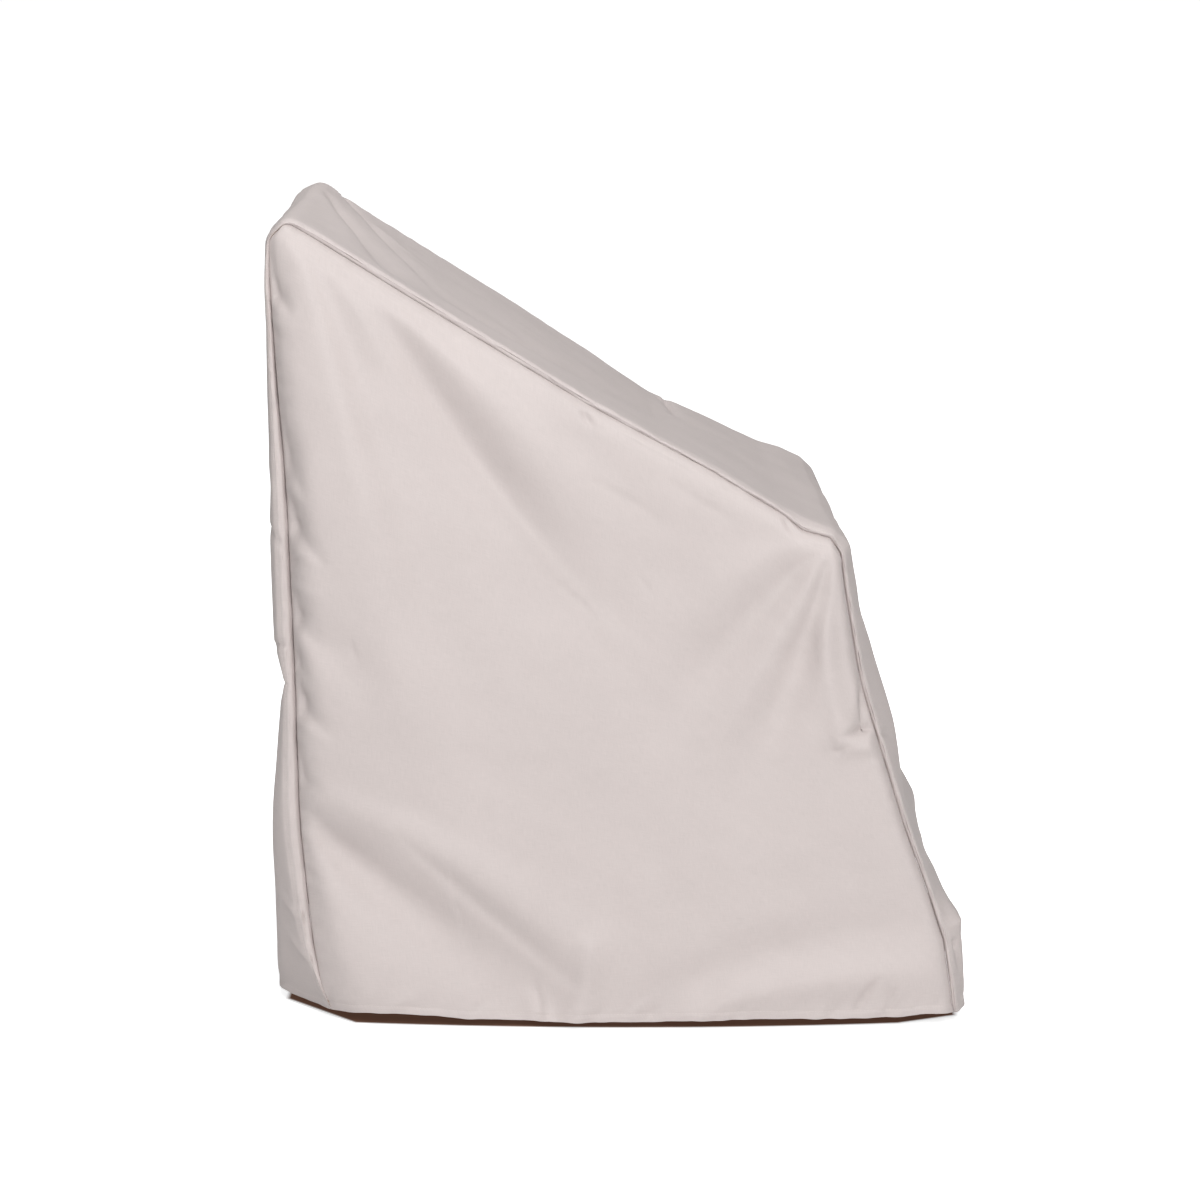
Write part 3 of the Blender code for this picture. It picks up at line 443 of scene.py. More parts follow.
STRIP_CREASES = (
    ("gather_a",      (0.880, 0.246), (0.930, 0.145), (1.050, -0.172), -0.0036, -0.0060, 0.000, 0.0030, 0.0120, 0.6),
    ("gather_b",      (0.886, 0.240), (0.942, 0.150), (1.060, 0.010), 0.0010, 0.0016, 0.000, 0.0040, 0.0090, 0.0),
    ("kink_line",     (1.349, 0.296), (1.354, 0.240), (1.358, 0.112), -0.0036, -0.0034, 0.000, 0.0030, 0.0040, 0.3),
    ("notch_line",    (0.362, -0.303), (0.368, -0.284), (0.380, -0.262), -0.0014, -0.0018, 0.000, 0.0030, 0.0050, 0.3),
    ("notch_line_2",  (0.408, -0.304), (0.404, -0.286), (0.396, -0.262), -0.0030, -0.0030, 0.000, 0.0026, 0.0050, 0.4),
    ("back_left_1",   (0.106, -0.318), (0.118, -0.300), (0.128, -0.272), 0.0020, 0.0024, 0.000, 0.0050, 0.0060, 0.3),
    ("back_left_2",   (0.060, -0.320), (0.070, -0.306), (0.084, -0.292), 0.0018, 0.0022, 0.000, 0.0040, 0.0050, 0.3),
    ("back_left_3",   (0.520, -0.292), (0.528, -0.276), (0.534, -0.250), -0.0018, -0.0020, 0.000, 0.0040, 0.0050, 0.3),
    ("back_right_1",  (0.210, 0.309), (0.222, 0.288), (0.240, 0.262), -0.0024, -0.0026, 0.000, 0.0040, 0.0060, 0.3),
    ("back_right_2",  (0.470, 0.294), (0.462, 0.270), (0.444, 0.240), -0.0024, -0.0026, 0.000, 0.0040, 0.0060, 0.3),
    ("ledge_left_1",  (2.002, -0.318), (2.026, -0.315), (2.062, -0.312), -0.0040, -0.0030, 0.000, 0.0028, 0.0050, 0.3),
    ("ledge_left_2",  (1.992, -0.300), (2.020, -0.294), (2.058, -0.290), -0.0030, -0.0022, 0.000, 0.0030, 0.0060, 0.3),
    ("ledge_mid",     (2.000, -0.070), (2.030, -0.082), (2.070, -0.088), -0.0020, -0.0026, -0.002, 0.0060, 0.0100, 0.0),
    ("ledge_right",   (2.000, 0.288), (2.024, 0.284), (2.060, 0.276), -0.0034, -0.0024, 0.000, 0.0030, 0.0060, 0.3),
    ("front_left_1",  (1.762, -0.312), (1.770, -0.292), (1.786, -0.268), -0.0024, -0.0024, 0.000, 0.0036, 0.0060, 0.3),
    ("front_right_1", (1.742, 0.312), (1.754, 0.288), (1.776, 0.262), -0.0024, -0.0024, 0.000, 0.0036, 0.0060, 0.3),
)


# how far both cloths turn in at the seam, in mm, and how unevenly
SEAM_COLUMNS = ("station", "depth", "uneven")
SEAM_DEPTHS = (
    ("back_hem",      0.0, 0.0),
    ("back_foot",     0.0, 0.0),
    ("back_calf",     4.6, 0.2),
    ("back_low",      6.5, 0.2),
    ("back_shoulder", 6.5, 0.2),
    ("back_neck",     2.6, 0.4),
    ("crest_back",    0.9, 0.5),
    ("brow",          1.1, 0.7),
    ("slope_mid",     1.4, 0.7),
    ("arm",           1.6, 0.6),
    ("arm_tip",       3.2, 0.3),
    ("front_high",    1.9, 0.5),
    ("front_knee",    2.4, 0.4),
    ("front_shin",    1.9, 0.5),
    ("front_ledge",   3.4, 0.2),
    ("front_foot",    2.2, 0.3),
    ("front_hem",     1.0, 0.2),
)


# --------------------------------------------------------- the fine surfaces
def noise(p, q, seed):
    """Smooth, even random field, about -1 to 1, one bump to a unit square."""
    i, j = np.floor(p), np.floor(q)
    u, v = p - i, q - j
    eased_u = u * u * u * (u * (u * 6 - 15) + 10)
    eased_v = v * v * v * (v * (v * 6 - 15) + 10)

    def corner(di, dj):
        spin = np.sin((i + di) * 127.1 + (j + dj) * 311.7 + seed * 74.7) * 43758.5453
        angle = 2 * np.pi * (spin - np.floor(spin))
        return np.cos(angle) * (u - di) + np.sin(angle) * (v - dj)

    low = corner(0, 0) * (1 - eased_u) + corner(1, 0) * eased_u
    high = corner(0, 1) * (1 - eased_u) + corner(1, 1) * eased_u
    return 1.5 * (low * (1 - eased_v) + high * eased_v)


def step(x, low, high):
    t = np.clip((x - low) / (high - low), 0, 1)
    return t * t * (3 - 2 * t)


def hem_profile(height):
    """The turned hem: a band a little thicker, with its stitches pulled in."""
    band = 0.0008 * (1 - step(height, HEM_WIDTH, HEM_WIDTH + 0.0012))
    return band - 0.0009 * np.exp(-((height - HEM_WIDTH) / 0.0010) ** 2)


def puckers(place, gap, seed, size=0.0011, width=0.013, wave=0.013):
    """Small gathers that a seam draws up, place along it and gap from it."""
    strength = 0.35 + 0.65 * step(noise(place / 0.085, place * 0 + 0.5, seed), -0.35, 0.45)
    ripple = noise(place / wave + gap * 9, gap / (wave * 2.6), seed + 7)
    start = 1 - np.exp(-(gap / 0.0022) ** 2)
    return size * strength * ripple * start * np.exp(-(gap / width) ** 1.3)


def side_gaps(side, a, b):
    """Distance of panel places from the back, front and top seams and the hem."""
    back = seam(side, b * CREST)
    front = seam(side, SEAM_LENGTH + b * (ARM - SEAM_LENGTH))
    top = seam(side, CREST + a * (ARM - CREST))
    corner_back, corner_front = seam(side, np.zeros_like(a)), seam(side, np.full_like(a, SEAM_LENGTH))
    hem = corner_back * (1 - a[..., None]) + corner_front * a[..., None]
    width = np.linalg.norm(front - back, axis=-1)
    height = np.linalg.norm(top - hem, axis=-1)
    return a * width, (1 - a) * width, (1 - b) * height, b * height


def seam_depth(along, gap):
    """How far the cloth turns in, gap from the seam."""
    where = [station_along(r[0]) for r in SEAM_DEPTHS]
    depth = np.interp(along, where, column(SEAM_DEPTHS, SEAM_COLUMNS, "depth")) / 1000
    uneven = np.interp(along, where, column(SEAM_DEPTHS, SEAM_COLUMNS, "uneven"))
    patch = step(noise(along / 0.022, along * 0 + 0.5, 210), -0.30, 0.35)
    return depth * (1 - uneven * patch) * np.exp(-(gap / SEAM_TURN) ** 2)


def side_detail(side, a, b, place):
    """How far the fine cloth stands off the side panel's base surface."""
    y, z = place[..., 1] - CENTRE_Y, place[..., 2]
    back, front, top, hem = side_gaps(side, a, b)
    seed = 3 if side < 0 else 57
    free = np.minimum(np.minimum(back, front), top)
    ease = 1 - np.exp(-(free / 0.004) ** 2)
    out = ease * fold_height(LEFT_CREASES if side < 0 else RIGHT_CREASES, y, z)
    # slow unevenness, drawn out along the hang of the cloth
    lean = y * 0.8 + z * 0.6
    cross = -y * 0.6 + z * 0.8
    soft = 1 - np.exp(-(free / 0.030) ** 2)
    out = out + soft * (0.0016 * noise(lean / 0.13, cross / 0.085, seed)
                        + 0.0006 * noise(lean / 0.060, cross / 0.036, seed + 1))
    # faint wrinkles that come and go
    patch = step(noise(y / 0.12, z / 0.12, seed + 2), 0.05, 0.55)
    out = out + soft * patch * 0.00022 * noise(lean / 0.022, cross / 0.011, seed + 3)
    # gathers along the seams
    out = out + puckers(z, back, seed + 10, 0.0036, 0.022, 0.015)
    out = out + puckers(z, front, seed + 20, 0.0012, 0.012, 0.014)
    out = out + puckers(y * 1.15, top, seed + 30, 0.0008, 0.010, 0.014)
    # the top seam's allowance shows through as a faint ridge beside it
    shows = step(noise(y / 0.060, y * 0 + 0.5, seed + 31), -0.4, 0.3)
    out = out + 0.0009 * shows * np.exp(-((top - 0.0085) / 0.0024) ** 2)
    # the hem: its own band, gathers above it, and a slow wave
    out = out + hem_profile(hem)
    out = out + ease * 0.0030 * noise(y / 0.020 + hem * 42, hem / 0.050, seed + 40) * np.exp(
        -(np.abs(hem - 0.010) / 0.018) ** 1.5) * (0.4 + 0.6 * step(noise(y / 0.07, y * 0, seed + 41), -0.3, 0.4))
    out = out + soft * 0.0030 * noise(y / 0.085, hem / 0.30, seed + 42) * np.exp(-hem / 0.055)
    return out


def side_surface(side, a, b):
    """Fine side panel."""
    place = side_point(side, a, b)
    back, front, top, hem = side_gaps(side, a, b)
    d = 0.0015
    along = side_point(side, np.clip(a + d, 0, 1), b) - side_point(side, np.clip(a - d, 0, 1), b)
    up = side_point(side, a, np.clip(b + d, 0, 1)) - side_point(side, a, np.clip(b - d, 0, 1))
    normal = np.cross(along, up)
    normal /= np.linalg.norm(normal, axis=-1, keepdims=True)
    normal *= np.sign(normal[..., :1]) * side
    place = place + normal * side_detail(side, a, b, place)[..., None]
    gap = np.minimum(np.minimum(back, front), top)
    on_seam = np.where(gap == back, b * CREST, np.where(
        gap == front, SEAM_LENGTH + b * (ARM - SEAM_LENGTH), CREST + a * (ARM - CREST)))
    place[..., 0] -= side * seam_depth(on_seam, gap)
    # the hem's edge wanders a little
    y = place[..., 1]
    corner = 1 - np.exp(-np.minimum(back, front) / 0.03)
    place[..., 2] += corner * np.exp(-hem / 0.035) * (
        0.0016 * noise(y / 0.050, y * 0, 91 + side) + 0.0007 * noise(y / 0.019, y * 0, 95 + side))
    return place, normal


def strip_detail(along, across, place):
    gap, sideways, half = strip_places(along, across)
    x = place[..., 0]
    ease = 1 - np.exp(-(gap / 0.003) ** 2)
    out = ease * fold_height(STRIP_CREASES, along, x)
    # the seam allowance: a band that ends at its row of topstitching
    out = out + 0.0006 * (1 - step(gap, RIBBON_WIDTH, RIBBON_WIDTH + 0.0014)) * (1 - np.exp(-(gap / 0.0010) ** 2))
    out = out - 0.0007 * np.exp(-((gap - RIBBON_WIDTH) / 0.0009) ** 2)
    out = out + 0.0003 * (1 - step(gap, 0.0125, 0.0140)) * step(gap, RIBBON_WIDTH + 0.001, RIBBON_WIDTH + 0.002)
    # gathers, different at each seam, and an allowance that doesn't lie even
    for sign, seed in ((-1, 110), (1, 130)):
        here = (np.sign(across) == sign) * 1.0
        out = out + here * puckers(along, gap, seed, 0.0012, 0.016, 0.015)
        out = out + here * ease * np.exp(-(gap / 0.009) ** 2) * (
            0.0011 * noise(along / 0.026, gap / 0.012, seed + 3) + 0.0006 * noise(along / 0.010, gap / 0.008, seed + 4))
    # slow unevenness
    soft = 1 - np.exp(-(gap / 0.030) ** 2)
    out = out + soft * (0.0018 * noise(along / 0.16, x / 0.12, 150)
                        + 0.0006 * noise(along / 0.055, x / 0.050, 151))
    patch = step(noise(along / 0.11, x / 0.11, 152), 0.10, 0.6)
    out = out + soft * patch * 0.00022 * noise(along / 0.020, x / 0.013, 153)
    # hems at both ends
    for seed, hem in ((160, along), (170, SEAM_LENGTH - along)):
        out = out + hem_profile(hem)
        out = out + ease * 0.0020 * noise(x / 0.020 + hem * 42, hem / 0.050, seed) * np.exp(
            -(np.abs(hem - 0.010) / 0.018) ** 1.5)
        out = out + soft * 0.0030 * noise(x / 0.085, hem / 0.30, seed + 2) * np.exp(-hem / 0.055)
    return out


def strip_surface(along, across):
    """Fine centre strip."""
    place = strip_point(along, across)
    d, e = 0.0010, 0.0010
    run = (strip_point(np.clip(along + d, 0, SEAM_LENGTH), across)
           - strip_point(np.clip(along - d, 0, SEAM_LENGTH), across))
    over = strip_point(along, np.clip(across + e, -1, 1)) - strip_point(along, np.clip(across - e, -1, 1))
    normal = np.cross(over, run)
    normal /= np.linalg.norm(normal, axis=-1, keepdims=True)
    outward = facing(along)
    normal *= np.sign(np.sum(normal * outward, -1, keepdims=True) + 0.2)
    place = place + normal * strip_detail(along, across, place)[..., None]
    gap, _, _ = strip_places(along, across)
    place[..., 0] -= np.sign(across) * seam_depth(along, gap)
    sway = 0.0007 * noise(along / 0.013, gap / 0.010, 190) + 0.0006 * noise(along / 0.034, gap * 0, 191)
    place[..., 0] += sway * np.exp(-(gap / RIBBON_WIDTH) ** 2) * (1 - np.exp(-(gap / 0.002) ** 2))
    return place, normal


# ------------------------------------------------------------------- meshes
def lines(length, cell, fine, reach, count, spots=()):
    """count + 1 grid lines from 0 to 1, closer together at both ends and at
    the spots (place in metres, width)."""
    t = np.linspace(0, 1, 6001)
    near_end = np.minimum(t, 1 - t) * length
    density = 1 + (cell / fine - 1) * np.exp(-near_end / reach)
    for spot, width in spots:
        density = density + 1.6 * np.exp(-((t * length - spot) / width) ** 2)
    total = np.concatenate([[0], np.cumsum((density[1:] + density[:-1]) / 2)])
    return np.interp(np.linspace(0, total[-1], count + 1), total, t)


def cloth_sheet(name, points, cut, outward, materials):
    """A closed sheet of the cloth's thickness through a grid of points.

    cut gives each point's place on the flat cloth, which the weave follows."""
    rows, columns = points.shape[:2]
    index = np.arange(rows * columns).reshape(rows, columns)
    quads = np.stack([index[:-1, :-1], index[1:, :-1], index[1:, 1:], index[:-1, 1:]], -1).reshape(-1, 4)
    middle = points[rows // 2, columns // 2]
    turn = np.cross(points[rows // 2 + 1, columns // 2] - middle, points[rows // 2, columns // 2 + 1] - middle)
    if turn @ np.array(outward) < 0:
        quads = quads[:, ::-1]
    mesh = bpy.data.meshes.new(name)
    mesh.from_pydata(points.reshape(-1, 3), [], quads.tolist())
    layer = mesh.uv_layers.new(name="cloth")
    layer.uv.foreach_set("vector", cut.reshape(-1, 2)[quads.ravel()].astype(np.float32).ravel())
    for material in materials:
        mesh.materials.append(material)
    mesh.shade_smooth()
    panel = bpy.data.objects.new(name, mesh)
    bpy.context.scene.collection.objects.link(panel)
    solid = panel.modifiers.new("cloth", "SOLIDIFY")
    solid.thickness = CLOTH
    solid.offset = -1.0
    solid.use_rim = True
    solid.material_offset = 1
    solid.material_offset_rim = 0
    # the thickness is made real, so that its edges can be sharp
    graph = bpy.context.evaluated_depsgraph_get()
    closed = bpy.data.meshes.new_from_object(panel.evaluated_get(graph))
    panel.modifiers.clear()
    panel.data = closed
    closed.name = name
    bpy.data.meshes.remove(mesh)
    closed.shade_smooth()
    closed.set_sharp_from_angle(angle=math.radians(55))
    return panel


def stitch_mesh(name, rows, material):
    """Rows of stitches as one mesh.  Each row is (points, normals); a stitch
    lies between each point and the next."""
    rings = np.array([[-0.44, 0.45], [-0.30, 0.95], [0.0, 1.0], [0.30, 0.95], [0.44, 0.45]])
    sides = 5
    spokes = np.arange(sides) * 2 * np.pi / sides
    verts, faces, count = [], [], 0
    for points, normals in rows:
        run = points[1:] - points[:-1]
        length = np.linalg.norm(run, axis=-1, keepdims=True)
        run = run / length
        normal = (normals[1:] + normals[:-1]) / 2
        normal = normal - run * np.sum(normal * run, -1, keepdims=True)
        normal /= np.linalg.norm(normal, axis=-1, keepdims=True)
        side = np.cross(run, normal)
        centre = (points[1:] + points[:-1]) / 2
        for place, share in rings:
            dip = -THREAD * 0.9 * (abs(place) / 0.44) ** 3
            ring = (centre + run * length * place + normal * dip)[:, None] + THREAD * share * (
                side[:, None] * np.cos(spokes)[None, :, None]
                + normal[:, None] * np.sin(spokes)[None, :, None])
            verts.append((count, ring))
        n, r = len(centre), len(rings)
        block = np.stack([v for _, v in verts[-r:]], 1)          # n, r, sides, 3
        del verts[-r:]
        verts.append(block.reshape(-1, 3))
        base = count + np.arange(n)[:, None, None] * r * sides
        ring_at = base + np.arange(r - 1)[None, :, None] * sides
        k = np.arange(sides)
        k2 = (k + 1) % sides
        quad = np.stack([ring_at + k, ring_at + k2, ring_at + sides + k2, ring_at + sides + k], -1)
        faces += quad.reshape(-1, 4).tolist()
        start = base[:, 0, 0][:, None] + k[::-1]
        end = base[:, 0, 0][:, None] + (r - 1) * sides + k
        faces += start.tolist() + end.tolist()
        count += n * r * sides
    mesh = bpy.data.meshes.new(name)
    mesh.from_pydata(np.concatenate(verts), [], faces)
    mesh.materials.append(material)
    mesh.shade_smooth()
    thread = bpy.data.objects.new(name, mesh)
    bpy.context.scene.collection.objects.link(thread)
    return thread


# ---------------------------------------------------------------- materials
class Nodes:
    """Short way to write a material's nodes."""

    def __init__(self, tree):
        self.tree = tree

    def add(self, kind, **inputs):
        node = self.tree.nodes.new(kind)
        for key, value in inputs.items():
            if key in ("operation", "blend_type", "data_type", "uv_map", "noise_dimensions",
                       "clamp", "interpolation_type", "feature"):
                setattr(node, key, value)
                continue
            socket = node.inputs[int(key[1:]) if key[0] == "i" and key[1:].isdigit() else key.replace("_", " ")]
            if isinstance(value, bpy.types.NodeSocket):
                self.tree.links.new(value, socket)
            else:
                socket.default_value = value
        return node

    def math(self, operation, first, second=None, clamp=False):
        node = self.add("ShaderNodeMath", operation=operation, i0=first)
        if second is not None:
            if isinstance(second, bpy.types.NodeSocket):
                self.tree.links.new(second, node.inputs[1])
            else:
                node.inputs[1].default_value = second
        node.use_clamp = clamp
        return node.outputs[0]


WEAVE = 0.00052           # spacing of the threads
CLOTH_COLOUR = (0.535, 0.478, 0.463)
COATING_COLOUR = (0.300, 0.225, 0.180)


def cloth_look(name, colour, weave=1.0, roughness=0.55, sheen=0.03):
    material = bpy.data.materials.new(name)
    material.use_nodes = True
    tree = material.node_tree
    shader = tree.nodes["Principled BSDF"]
    n = Nodes(tree)
    place = n.add("ShaderNodeUVMap", uv_map="cloth").outputs[0]
    split = n.add("ShaderNodeSeparateXYZ", Vector=place)
    u, v = split.outputs[0], split.outputs[1]

    # plain weave: one bump for each crossing, warp and weft by turns
    warp = n.math("ABSOLUTE", n.math("SINE", n.math("MULTIPLY", u, math.pi / WEAVE)))
    weft = n.math("ABSOLUTE", n.math("SINE", n.math("MULTIPLY", v, math.pi / WEAVE)))
    over = n.math("MULTIPLY", n.math("SINE", n.math("MULTIPLY", u, math.pi / WEAVE)),
                  n.math("SINE", n.math("MULTIPLY", v, math.pi / WEAVE)))
    crossing = n.math("MULTIPLY", warp, weft)
    crossing = n.math("ADD", n.math("MULTIPLY", crossing, 0.7), n.math("MULTIPLY", over, 0.3))

    # uneven yarn, drawn out along each thread direction
    def yarn(scale_u, scale_v, detail):
        stretched = n.add("ShaderNodeVectorMath", operation="MULTIPLY", i0=place, i1=(scale_u, scale_v, 1.0))
        return n.add("ShaderNodeTexNoise", Vector=stretched.outputs[0], Scale=1.0,
                     Detail=detail, Roughness=0.6).outputs[0]

    along_warp = yarn(1500.0, 70.0, 2.0)
    along_weft = yarn(70.0, 1500.0, 2.0)
    slub = n.math("ADD", along_warp, along_weft)
    broad = yarn(7.0, 7.0, 3.0)
    patch = yarn(46.0, 46.0, 3.0)

    # colour: an even beige with slight differences between yarns and places
    tone = n.math("ADD", n.math("MULTIPLY", n.math("SUBTRACT", slub, 1.0), 0.16),
                  n.math("MULTIPLY", n.math("SUBTRACT", broad, 0.5), 0.10))
    tone = n.math("ADD", tone, n.math("MULTIPLY", n.math("SUBTRACT", patch, 0.5), 0.04))
    tone = n.math("ADD", tone, n.math("MULTIPLY", n.math("SUBTRACT", crossing, 0.3), 0.05 * weave))
    tone = n.math("ADD", tone, 1.0)
    value = n.add("ShaderNodeCombineXYZ", i0=tone, i1=tone, i2=tone)
    mixed = n.add("ShaderNodeVectorMath", operation="MULTIPLY", i0=value.outputs[0], i1=colour)
    tree.links.new(mixed.outputs[0], shader.inputs["Base Color"])

    rough = n.math("ADD", n.math("MULTIPLY", n.math("SUBTRACT", patch, 0.5), 0.10),
                   n.math("ADD", n.math("MULTIPLY", slub, 0.06), roughness - 0.06))
    tree.links.new(rough, shader.inputs["Roughness"])

    height = n.math("ADD", n.math("MULTIPLY", crossing, 0.8 * weave), n.math("MULTIPLY", slub, 0.55))
    bump = n.add("ShaderNodeBump", Strength=0.55, Distance=0.00007, Height=height)
    tree.links.new(bump.outputs[0], shader.inputs["Normal"])
    shader.inputs["Sheen Weight"].default_value = sheen
    shader.inputs["Sheen Roughness"].default_value = 0.45
    shader.inputs["Specular IOR Level"].default_value = 0.30
    return material


def thread_look(name, colour):
    material = bpy.data.materials.new(name)
    material.use_nodes = True
    tree = material.node_tree
    shader = tree.nodes["Principled BSDF"]
    n = Nodes(tree)
    place = n.add("ShaderNodeTexCoord").outputs["Object"]
    ply = n.add("ShaderNodeTexNoise", Vector=place, Scale=900.0, Detail=2.0).outputs[0]
    tone = n.math("ADD", n.math("MULTIPLY", ply, 0.20), 0.90)
    value = n.add("ShaderNodeCombineXYZ", i0=tone, i1=tone, i2=tone)
    mixed = n.add("ShaderNodeVectorMath", operation="MULTIPLY", i0=value.outputs[0], i1=colour)
    tree.links.new(mixed.outputs[0], shader.inputs["Base Color"])
    shader.inputs["Roughness"].default_value = 0.55
    shader.inputs["Sheen Weight"].default_value = 0.15
    return material


cloth = cloth_look("beige_coated_cloth", CLOTH_COLOUR)
coating = cloth_look("inside_coating", COATING_COLOUR, weave=0.5, roughness=0.45, sheen=0.0)
thread = thread_look("beige_thread", (0.57, 0.515, 0.495))

# ----------------------------------------------------------- make the panels
panels = {}
for side, name in ((-1, "side_panel_left"), (1, "side_panel_right")):
    a_lines = lines(0.64, 0.0032, 0.0008, 0.010, SIDE_CELLS)
    b_lines = lines(0.72, 0.0034, 0.0010, 0.009, SIDE_CELLS)
    a, b = np.meshgrid(np.clip(a_lines, 0.0003, 0.9997), np.clip(b_lines, 0, 0.9997), indexing="ij")
    points, _ = side_surface(side, a, b)
    cut = np.stack([a * 0.68, b * 0.78 + side * 2.0], -1)
    panels[name] = cloth_sheet(name + "_cloth", points, cut, (side, 0, 0), (cloth, coating))

spots = [(CREST, 0.016), (station_along("slope_kink"), 0.03), (ARM, 0.022),
         (station_along("front_ledge"), 0.018), (station_along("front_tuck"), 0.012),
         (station_along("back_notch"), 0.03)]
strip_along = lines(SEAM_LENGTH, 0.0040, 0.0012, 0.008, STRIP_CELLS_ALONG, spots) * SEAM_LENGTH
strip_across = lines(0.62, 0.0085, 0.0006, 0.0085, STRIP_CELLS_ACROSS) * 2 - 1
along, across = np.meshgrid(strip_along, strip_across, indexing="ij")
points, _ = strip_surface(along, across)
cut = np.stack([across * 0.317, along], -1)
panels["centre_strip"] = cloth_sheet("centre_strip_cloth", points, cut, (0, 0, 1), (cloth, coating))

# ------------------------------------------------------------- the stitching
stitch_rows = []
for sign in (-1, 1):
    place = np.arange(0.0025, SEAM_LENGTH - 0.0025, STITCH)
    half = (seam(1, place) - seam(-1, place))[..., 0] / 2
    points, normals = strip_surface(place, sign * (1 - RIBBON_WIDTH / (half + RIBBON_WIDTH)))
    stitch_rows.append((points + normals * THREAD * 0.55, normals))
for end in (HEM_WIDTH, SEAM_LENGTH - HEM_WIDTH):
    place = np.arange(-0.985, 0.985, STITCH / 0.325)
    points, normals = strip_surface(np.full_like(place, end), place)
    stitch_rows.append((points + normals * THREAD * 0.55, normals))
for side in (-1, 1):
    place = np.arange(0.012, 0.988, STITCH / 0.676)
    top = seam(side, CREST + place * (ARM - CREST))
    height = np.linalg.norm(top - seam(side, np.zeros_like(place)) * (1 - place[:, None])
                            - seam(side, np.full_like(place, SEAM_LENGTH)) * place[:, None], axis=-1)
    points, normals = side_surface(side, place, HEM_WIDTH / height)
    stitch_rows.append((points + normals * THREAD * 0.55, normals))
stitching = stitch_mesh("topstitching", stitch_rows, thread)

# ------------------------------------------------------- tie to the CAD parts
for name, panel in panels.items():
    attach(panel, "root")
    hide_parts(name)
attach(stitching, "root")

# --------------------------------------------------------------- the studio
FLOOR_Z = -0.0080         # the hem hangs just clear of the floor
FLOOR_BOUNCE = 0.15       # share of the floor's glow that lights the cover


def studio_floor():
    bpy.ops.mesh.primitive_circle_add(vertices=96, radius=40.0, fill_type="NGON", location=(0, 0, FLOOR_Z))
    floor = bpy.context.object
    floor.name = "studio_floor"
    material = bpy.data.materials.new("studio_floor")
    material.use_nodes = True
    tree = material.node_tree
    shader = tree.nodes["Principled BSDF"]
    shader.inputs["Roughness"].default_value = 0.9
    shader.inputs["Specular IOR Level"].default_value = 0.0
    n = Nodes(tree)
    # outside the cover's outline the floor glows to an even white; under it a warm dark painted shadow sits in the
    # floor's colour and glow, with an edge 6 mm wide at the outline, and the glow is a little lower over the first 0.25
    # m beyond it, a faint painted shade around the cover
    place = n.add("ShaderNodeTexCoord").outputs["Object"]
    split = n.add("ShaderNodeSeparateXYZ", Vector=place)
    x, y = n.math("ABSOLUTE", split.outputs[0]), n.math("SUBTRACT", split.outputs[1], 0.003)
    swell = n.math("SUBTRACT", 1.0, n.math("POWER", n.math("ABSOLUTE", n.math("MULTIPLY", y, 1 / 0.37)), 2.0), clamp=True)
    sides = n.math("SUBTRACT", x, n.math("ADD", n.math("MULTIPLY", swell, 0.027), 0.314))
    ends = n.math("MAXIMUM", n.math("SUBTRACT", y, 0.360), n.math("SUBTRACT", n.math("MULTIPLY", y, -1.0), 0.374))
    back_corner = n.math("ADD", n.math("MULTIPLY", n.math("SUBTRACT", x, 0.293), 0.68),
                         n.math("MULTIPLY", n.math("SUBTRACT", y, 0.310), 0.73))
    front_corner = n.math("ADD", n.math("MULTIPLY", n.math("SUBTRACT", x, 0.318), 0.91),
                          n.math("MULTIPLY", n.math("ADD", y, 0.320), -0.41))
    beyond = n.math("MAXIMUM", n.math("MAXIMUM", sides, ends), n.math("MAXIMUM", back_corner, front_corner))
    out_of_painted_shade = n.math("MULTIPLY", beyond, 1 / 0.006, clamp=True)
    # painted shade: the glow grows from 0.8 to full over 0.25 m away from the outline
    far = n.math("MULTIPLY", beyond, 1 / 0.25, clamp=True)
    glow = n.math("ADD", n.math("MULTIPLY", out_of_painted_shade, 0.80), n.math("MULTIPLY", far, 0.20))
    # painted shadow: a dark warm brown base colour inside the outline, pale grey outside
    painted_shade_colour = n.add("ShaderNodeMix", data_type="RGBA", Factor=out_of_painted_shade)
    painted_shade_colour.inputs[6].default_value = (0.20, 0.115, 0.080, 1)
    painted_shade_colour.inputs[7].default_value = (0.72, 0.72, 0.72, 1)
    tree.links.new(painted_shade_colour.outputs[2], shader.inputs["Base Color"])
    # painted shadow: a dark warm glow colour inside the outline, white outside
    painted_shade_glow = n.add("ShaderNodeMix", data_type="RGBA", Factor=out_of_painted_shade)
    painted_shade_glow.inputs[6].default_value = (0.060, 0.030, 0.020, 1)
    painted_shade_glow.inputs[7].default_value = (1, 1, 1, 1)
    tree.links.new(painted_shade_glow.outputs[2], shader.inputs["Emission Color"])
    # inside the outline the glow is at full strength in that dark warm colour, part of the painted shadow
    glow = n.math("ADD", glow, n.math("SUBTRACT", 1.0, out_of_painted_shade))
    # it looks white but throws back less light than it shows
    seen = n.add("ShaderNodeLightPath").outputs["Is Camera Ray"]
    glow = n.math("MULTIPLY", glow, n.math("ADD", n.math("MULTIPLY", seen, 1.0 - FLOOR_BOUNCE), FLOOR_BOUNCE))
    tree.links.new(glow, shader.inputs["Emission Strength"])
    floor.data.materials.append(material)
    return floor


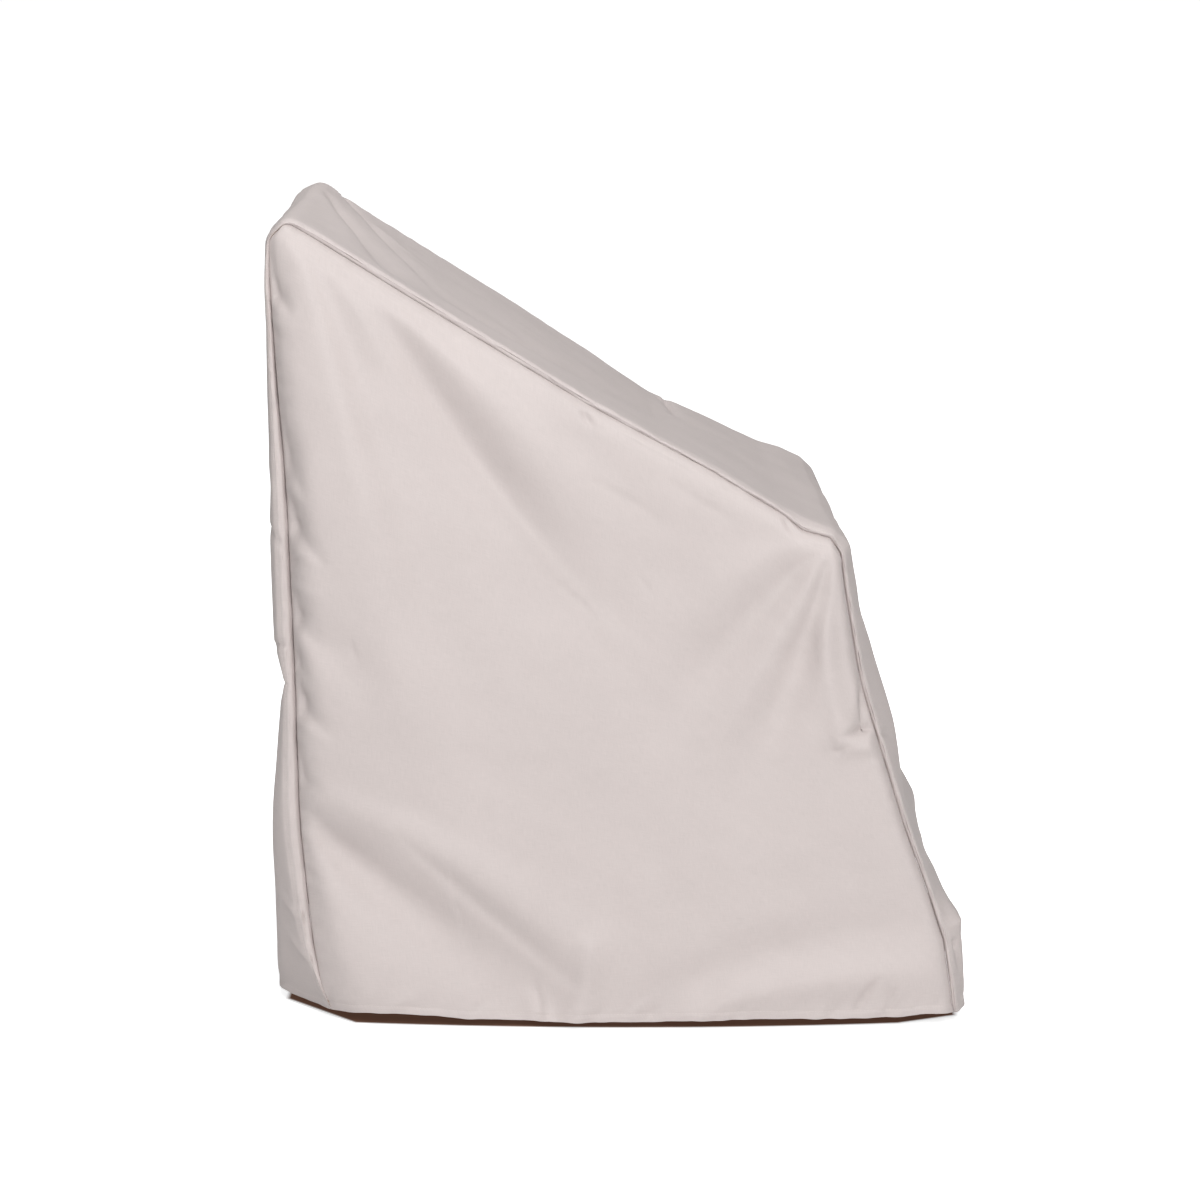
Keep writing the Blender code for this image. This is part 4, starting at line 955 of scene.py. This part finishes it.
def soft_light(name, place, target, size, power, colour=(1, 1, 1)):
    data = bpy.data.lights.new(name, "AREA")
    data.shape = "RECTANGLE"
    data.size, data.size_y = size
    data.energy = power
    data.color = colour
    lamp = bpy.data.objects.new(name, data)
    bpy.context.scene.collection.objects.link(lamp)
    lamp.location = place
    aim = np.array(target, float) - np.array(place, float)
    from mathutils import Vector
    lamp.rotation_euler = Vector(aim).to_track_quat("-Z", "Y").to_euler()
    return lamp


studio_floor()
soft_light("key", (-5.6, -1.1, 4.0), (0, 0, 0.45), (2.4, 2.4), 350)
soft_light("back_fill", (-3.0, 4.0, 3.2), (0, 0, 0.40), (2.0, 2.0), 34)
soft_light("overhead", (0.2, -0.2, 3.4), (0, 0, 0.4), (2.4, 2.4), 50)

world = bpy.data.worlds.new("studio")
bpy.context.scene.world = world
world.use_nodes = True
n = Nodes(world.node_tree)
background = world.node_tree.nodes["Background"]
seen = n.add("ShaderNodeLightPath").outputs["Is Camera Ray"]
AMBIENT = 0.21
FRONT_SHADE = 0.65        # how much less of it comes from in front of the chair
direction = n.add("ShaderNodeSeparateXYZ", Vector=n.add("ShaderNodeTexCoord").outputs["Generated"])
front = n.math("MULTIPLY", n.math("MULTIPLY", direction.outputs[1], -1.0, clamp=True), FRONT_SHADE)
ambient = n.math("MULTIPLY", n.math("SUBTRACT", 1.0, front), AMBIENT)
unseen = n.math("MULTIPLY", n.math("SUBTRACT", 1.0, seen), ambient)
strength = n.math("ADD", seen, unseen)
background.inputs["Color"].default_value = (1, 1, 1, 1)
world.node_tree.links.new(strength, background.inputs["Strength"])

scene = bpy.context.scene
scene.view_settings.view_transform = "Standard"
scene.view_settings.look = "None"
scene.view_settings.exposure = 0.0
scene.view_settings.gamma = 1.0

# ------------------------------------------------------------------- camera
CAMERA_PLACE = (-4.15188, -0.01694, 1.19918)
CAMERA_DOWN = math.radians(10.9)
CAMERA_TURN = math.radians(0.5)
CAMERA_LENS = 109.35      # for a sensor 36 mm wide

camera_data = bpy.data.cameras.new("camera")
camera_data.lens = CAMERA_LENS
camera_data.sensor_width = 36.0
camera_data.clip_end = 100.0
camera = bpy.data.objects.new("camera", camera_data)
scene.collection.objects.link(camera)
camera.location = CAMERA_PLACE
camera.rotation_mode = "XYZ"
camera.rotation_euler = (math.pi / 2 - CAMERA_DOWN, 0.0, CAMERA_TURN - math.pi / 2)
scene.camera = camera

bpy.context.view_layer.update()
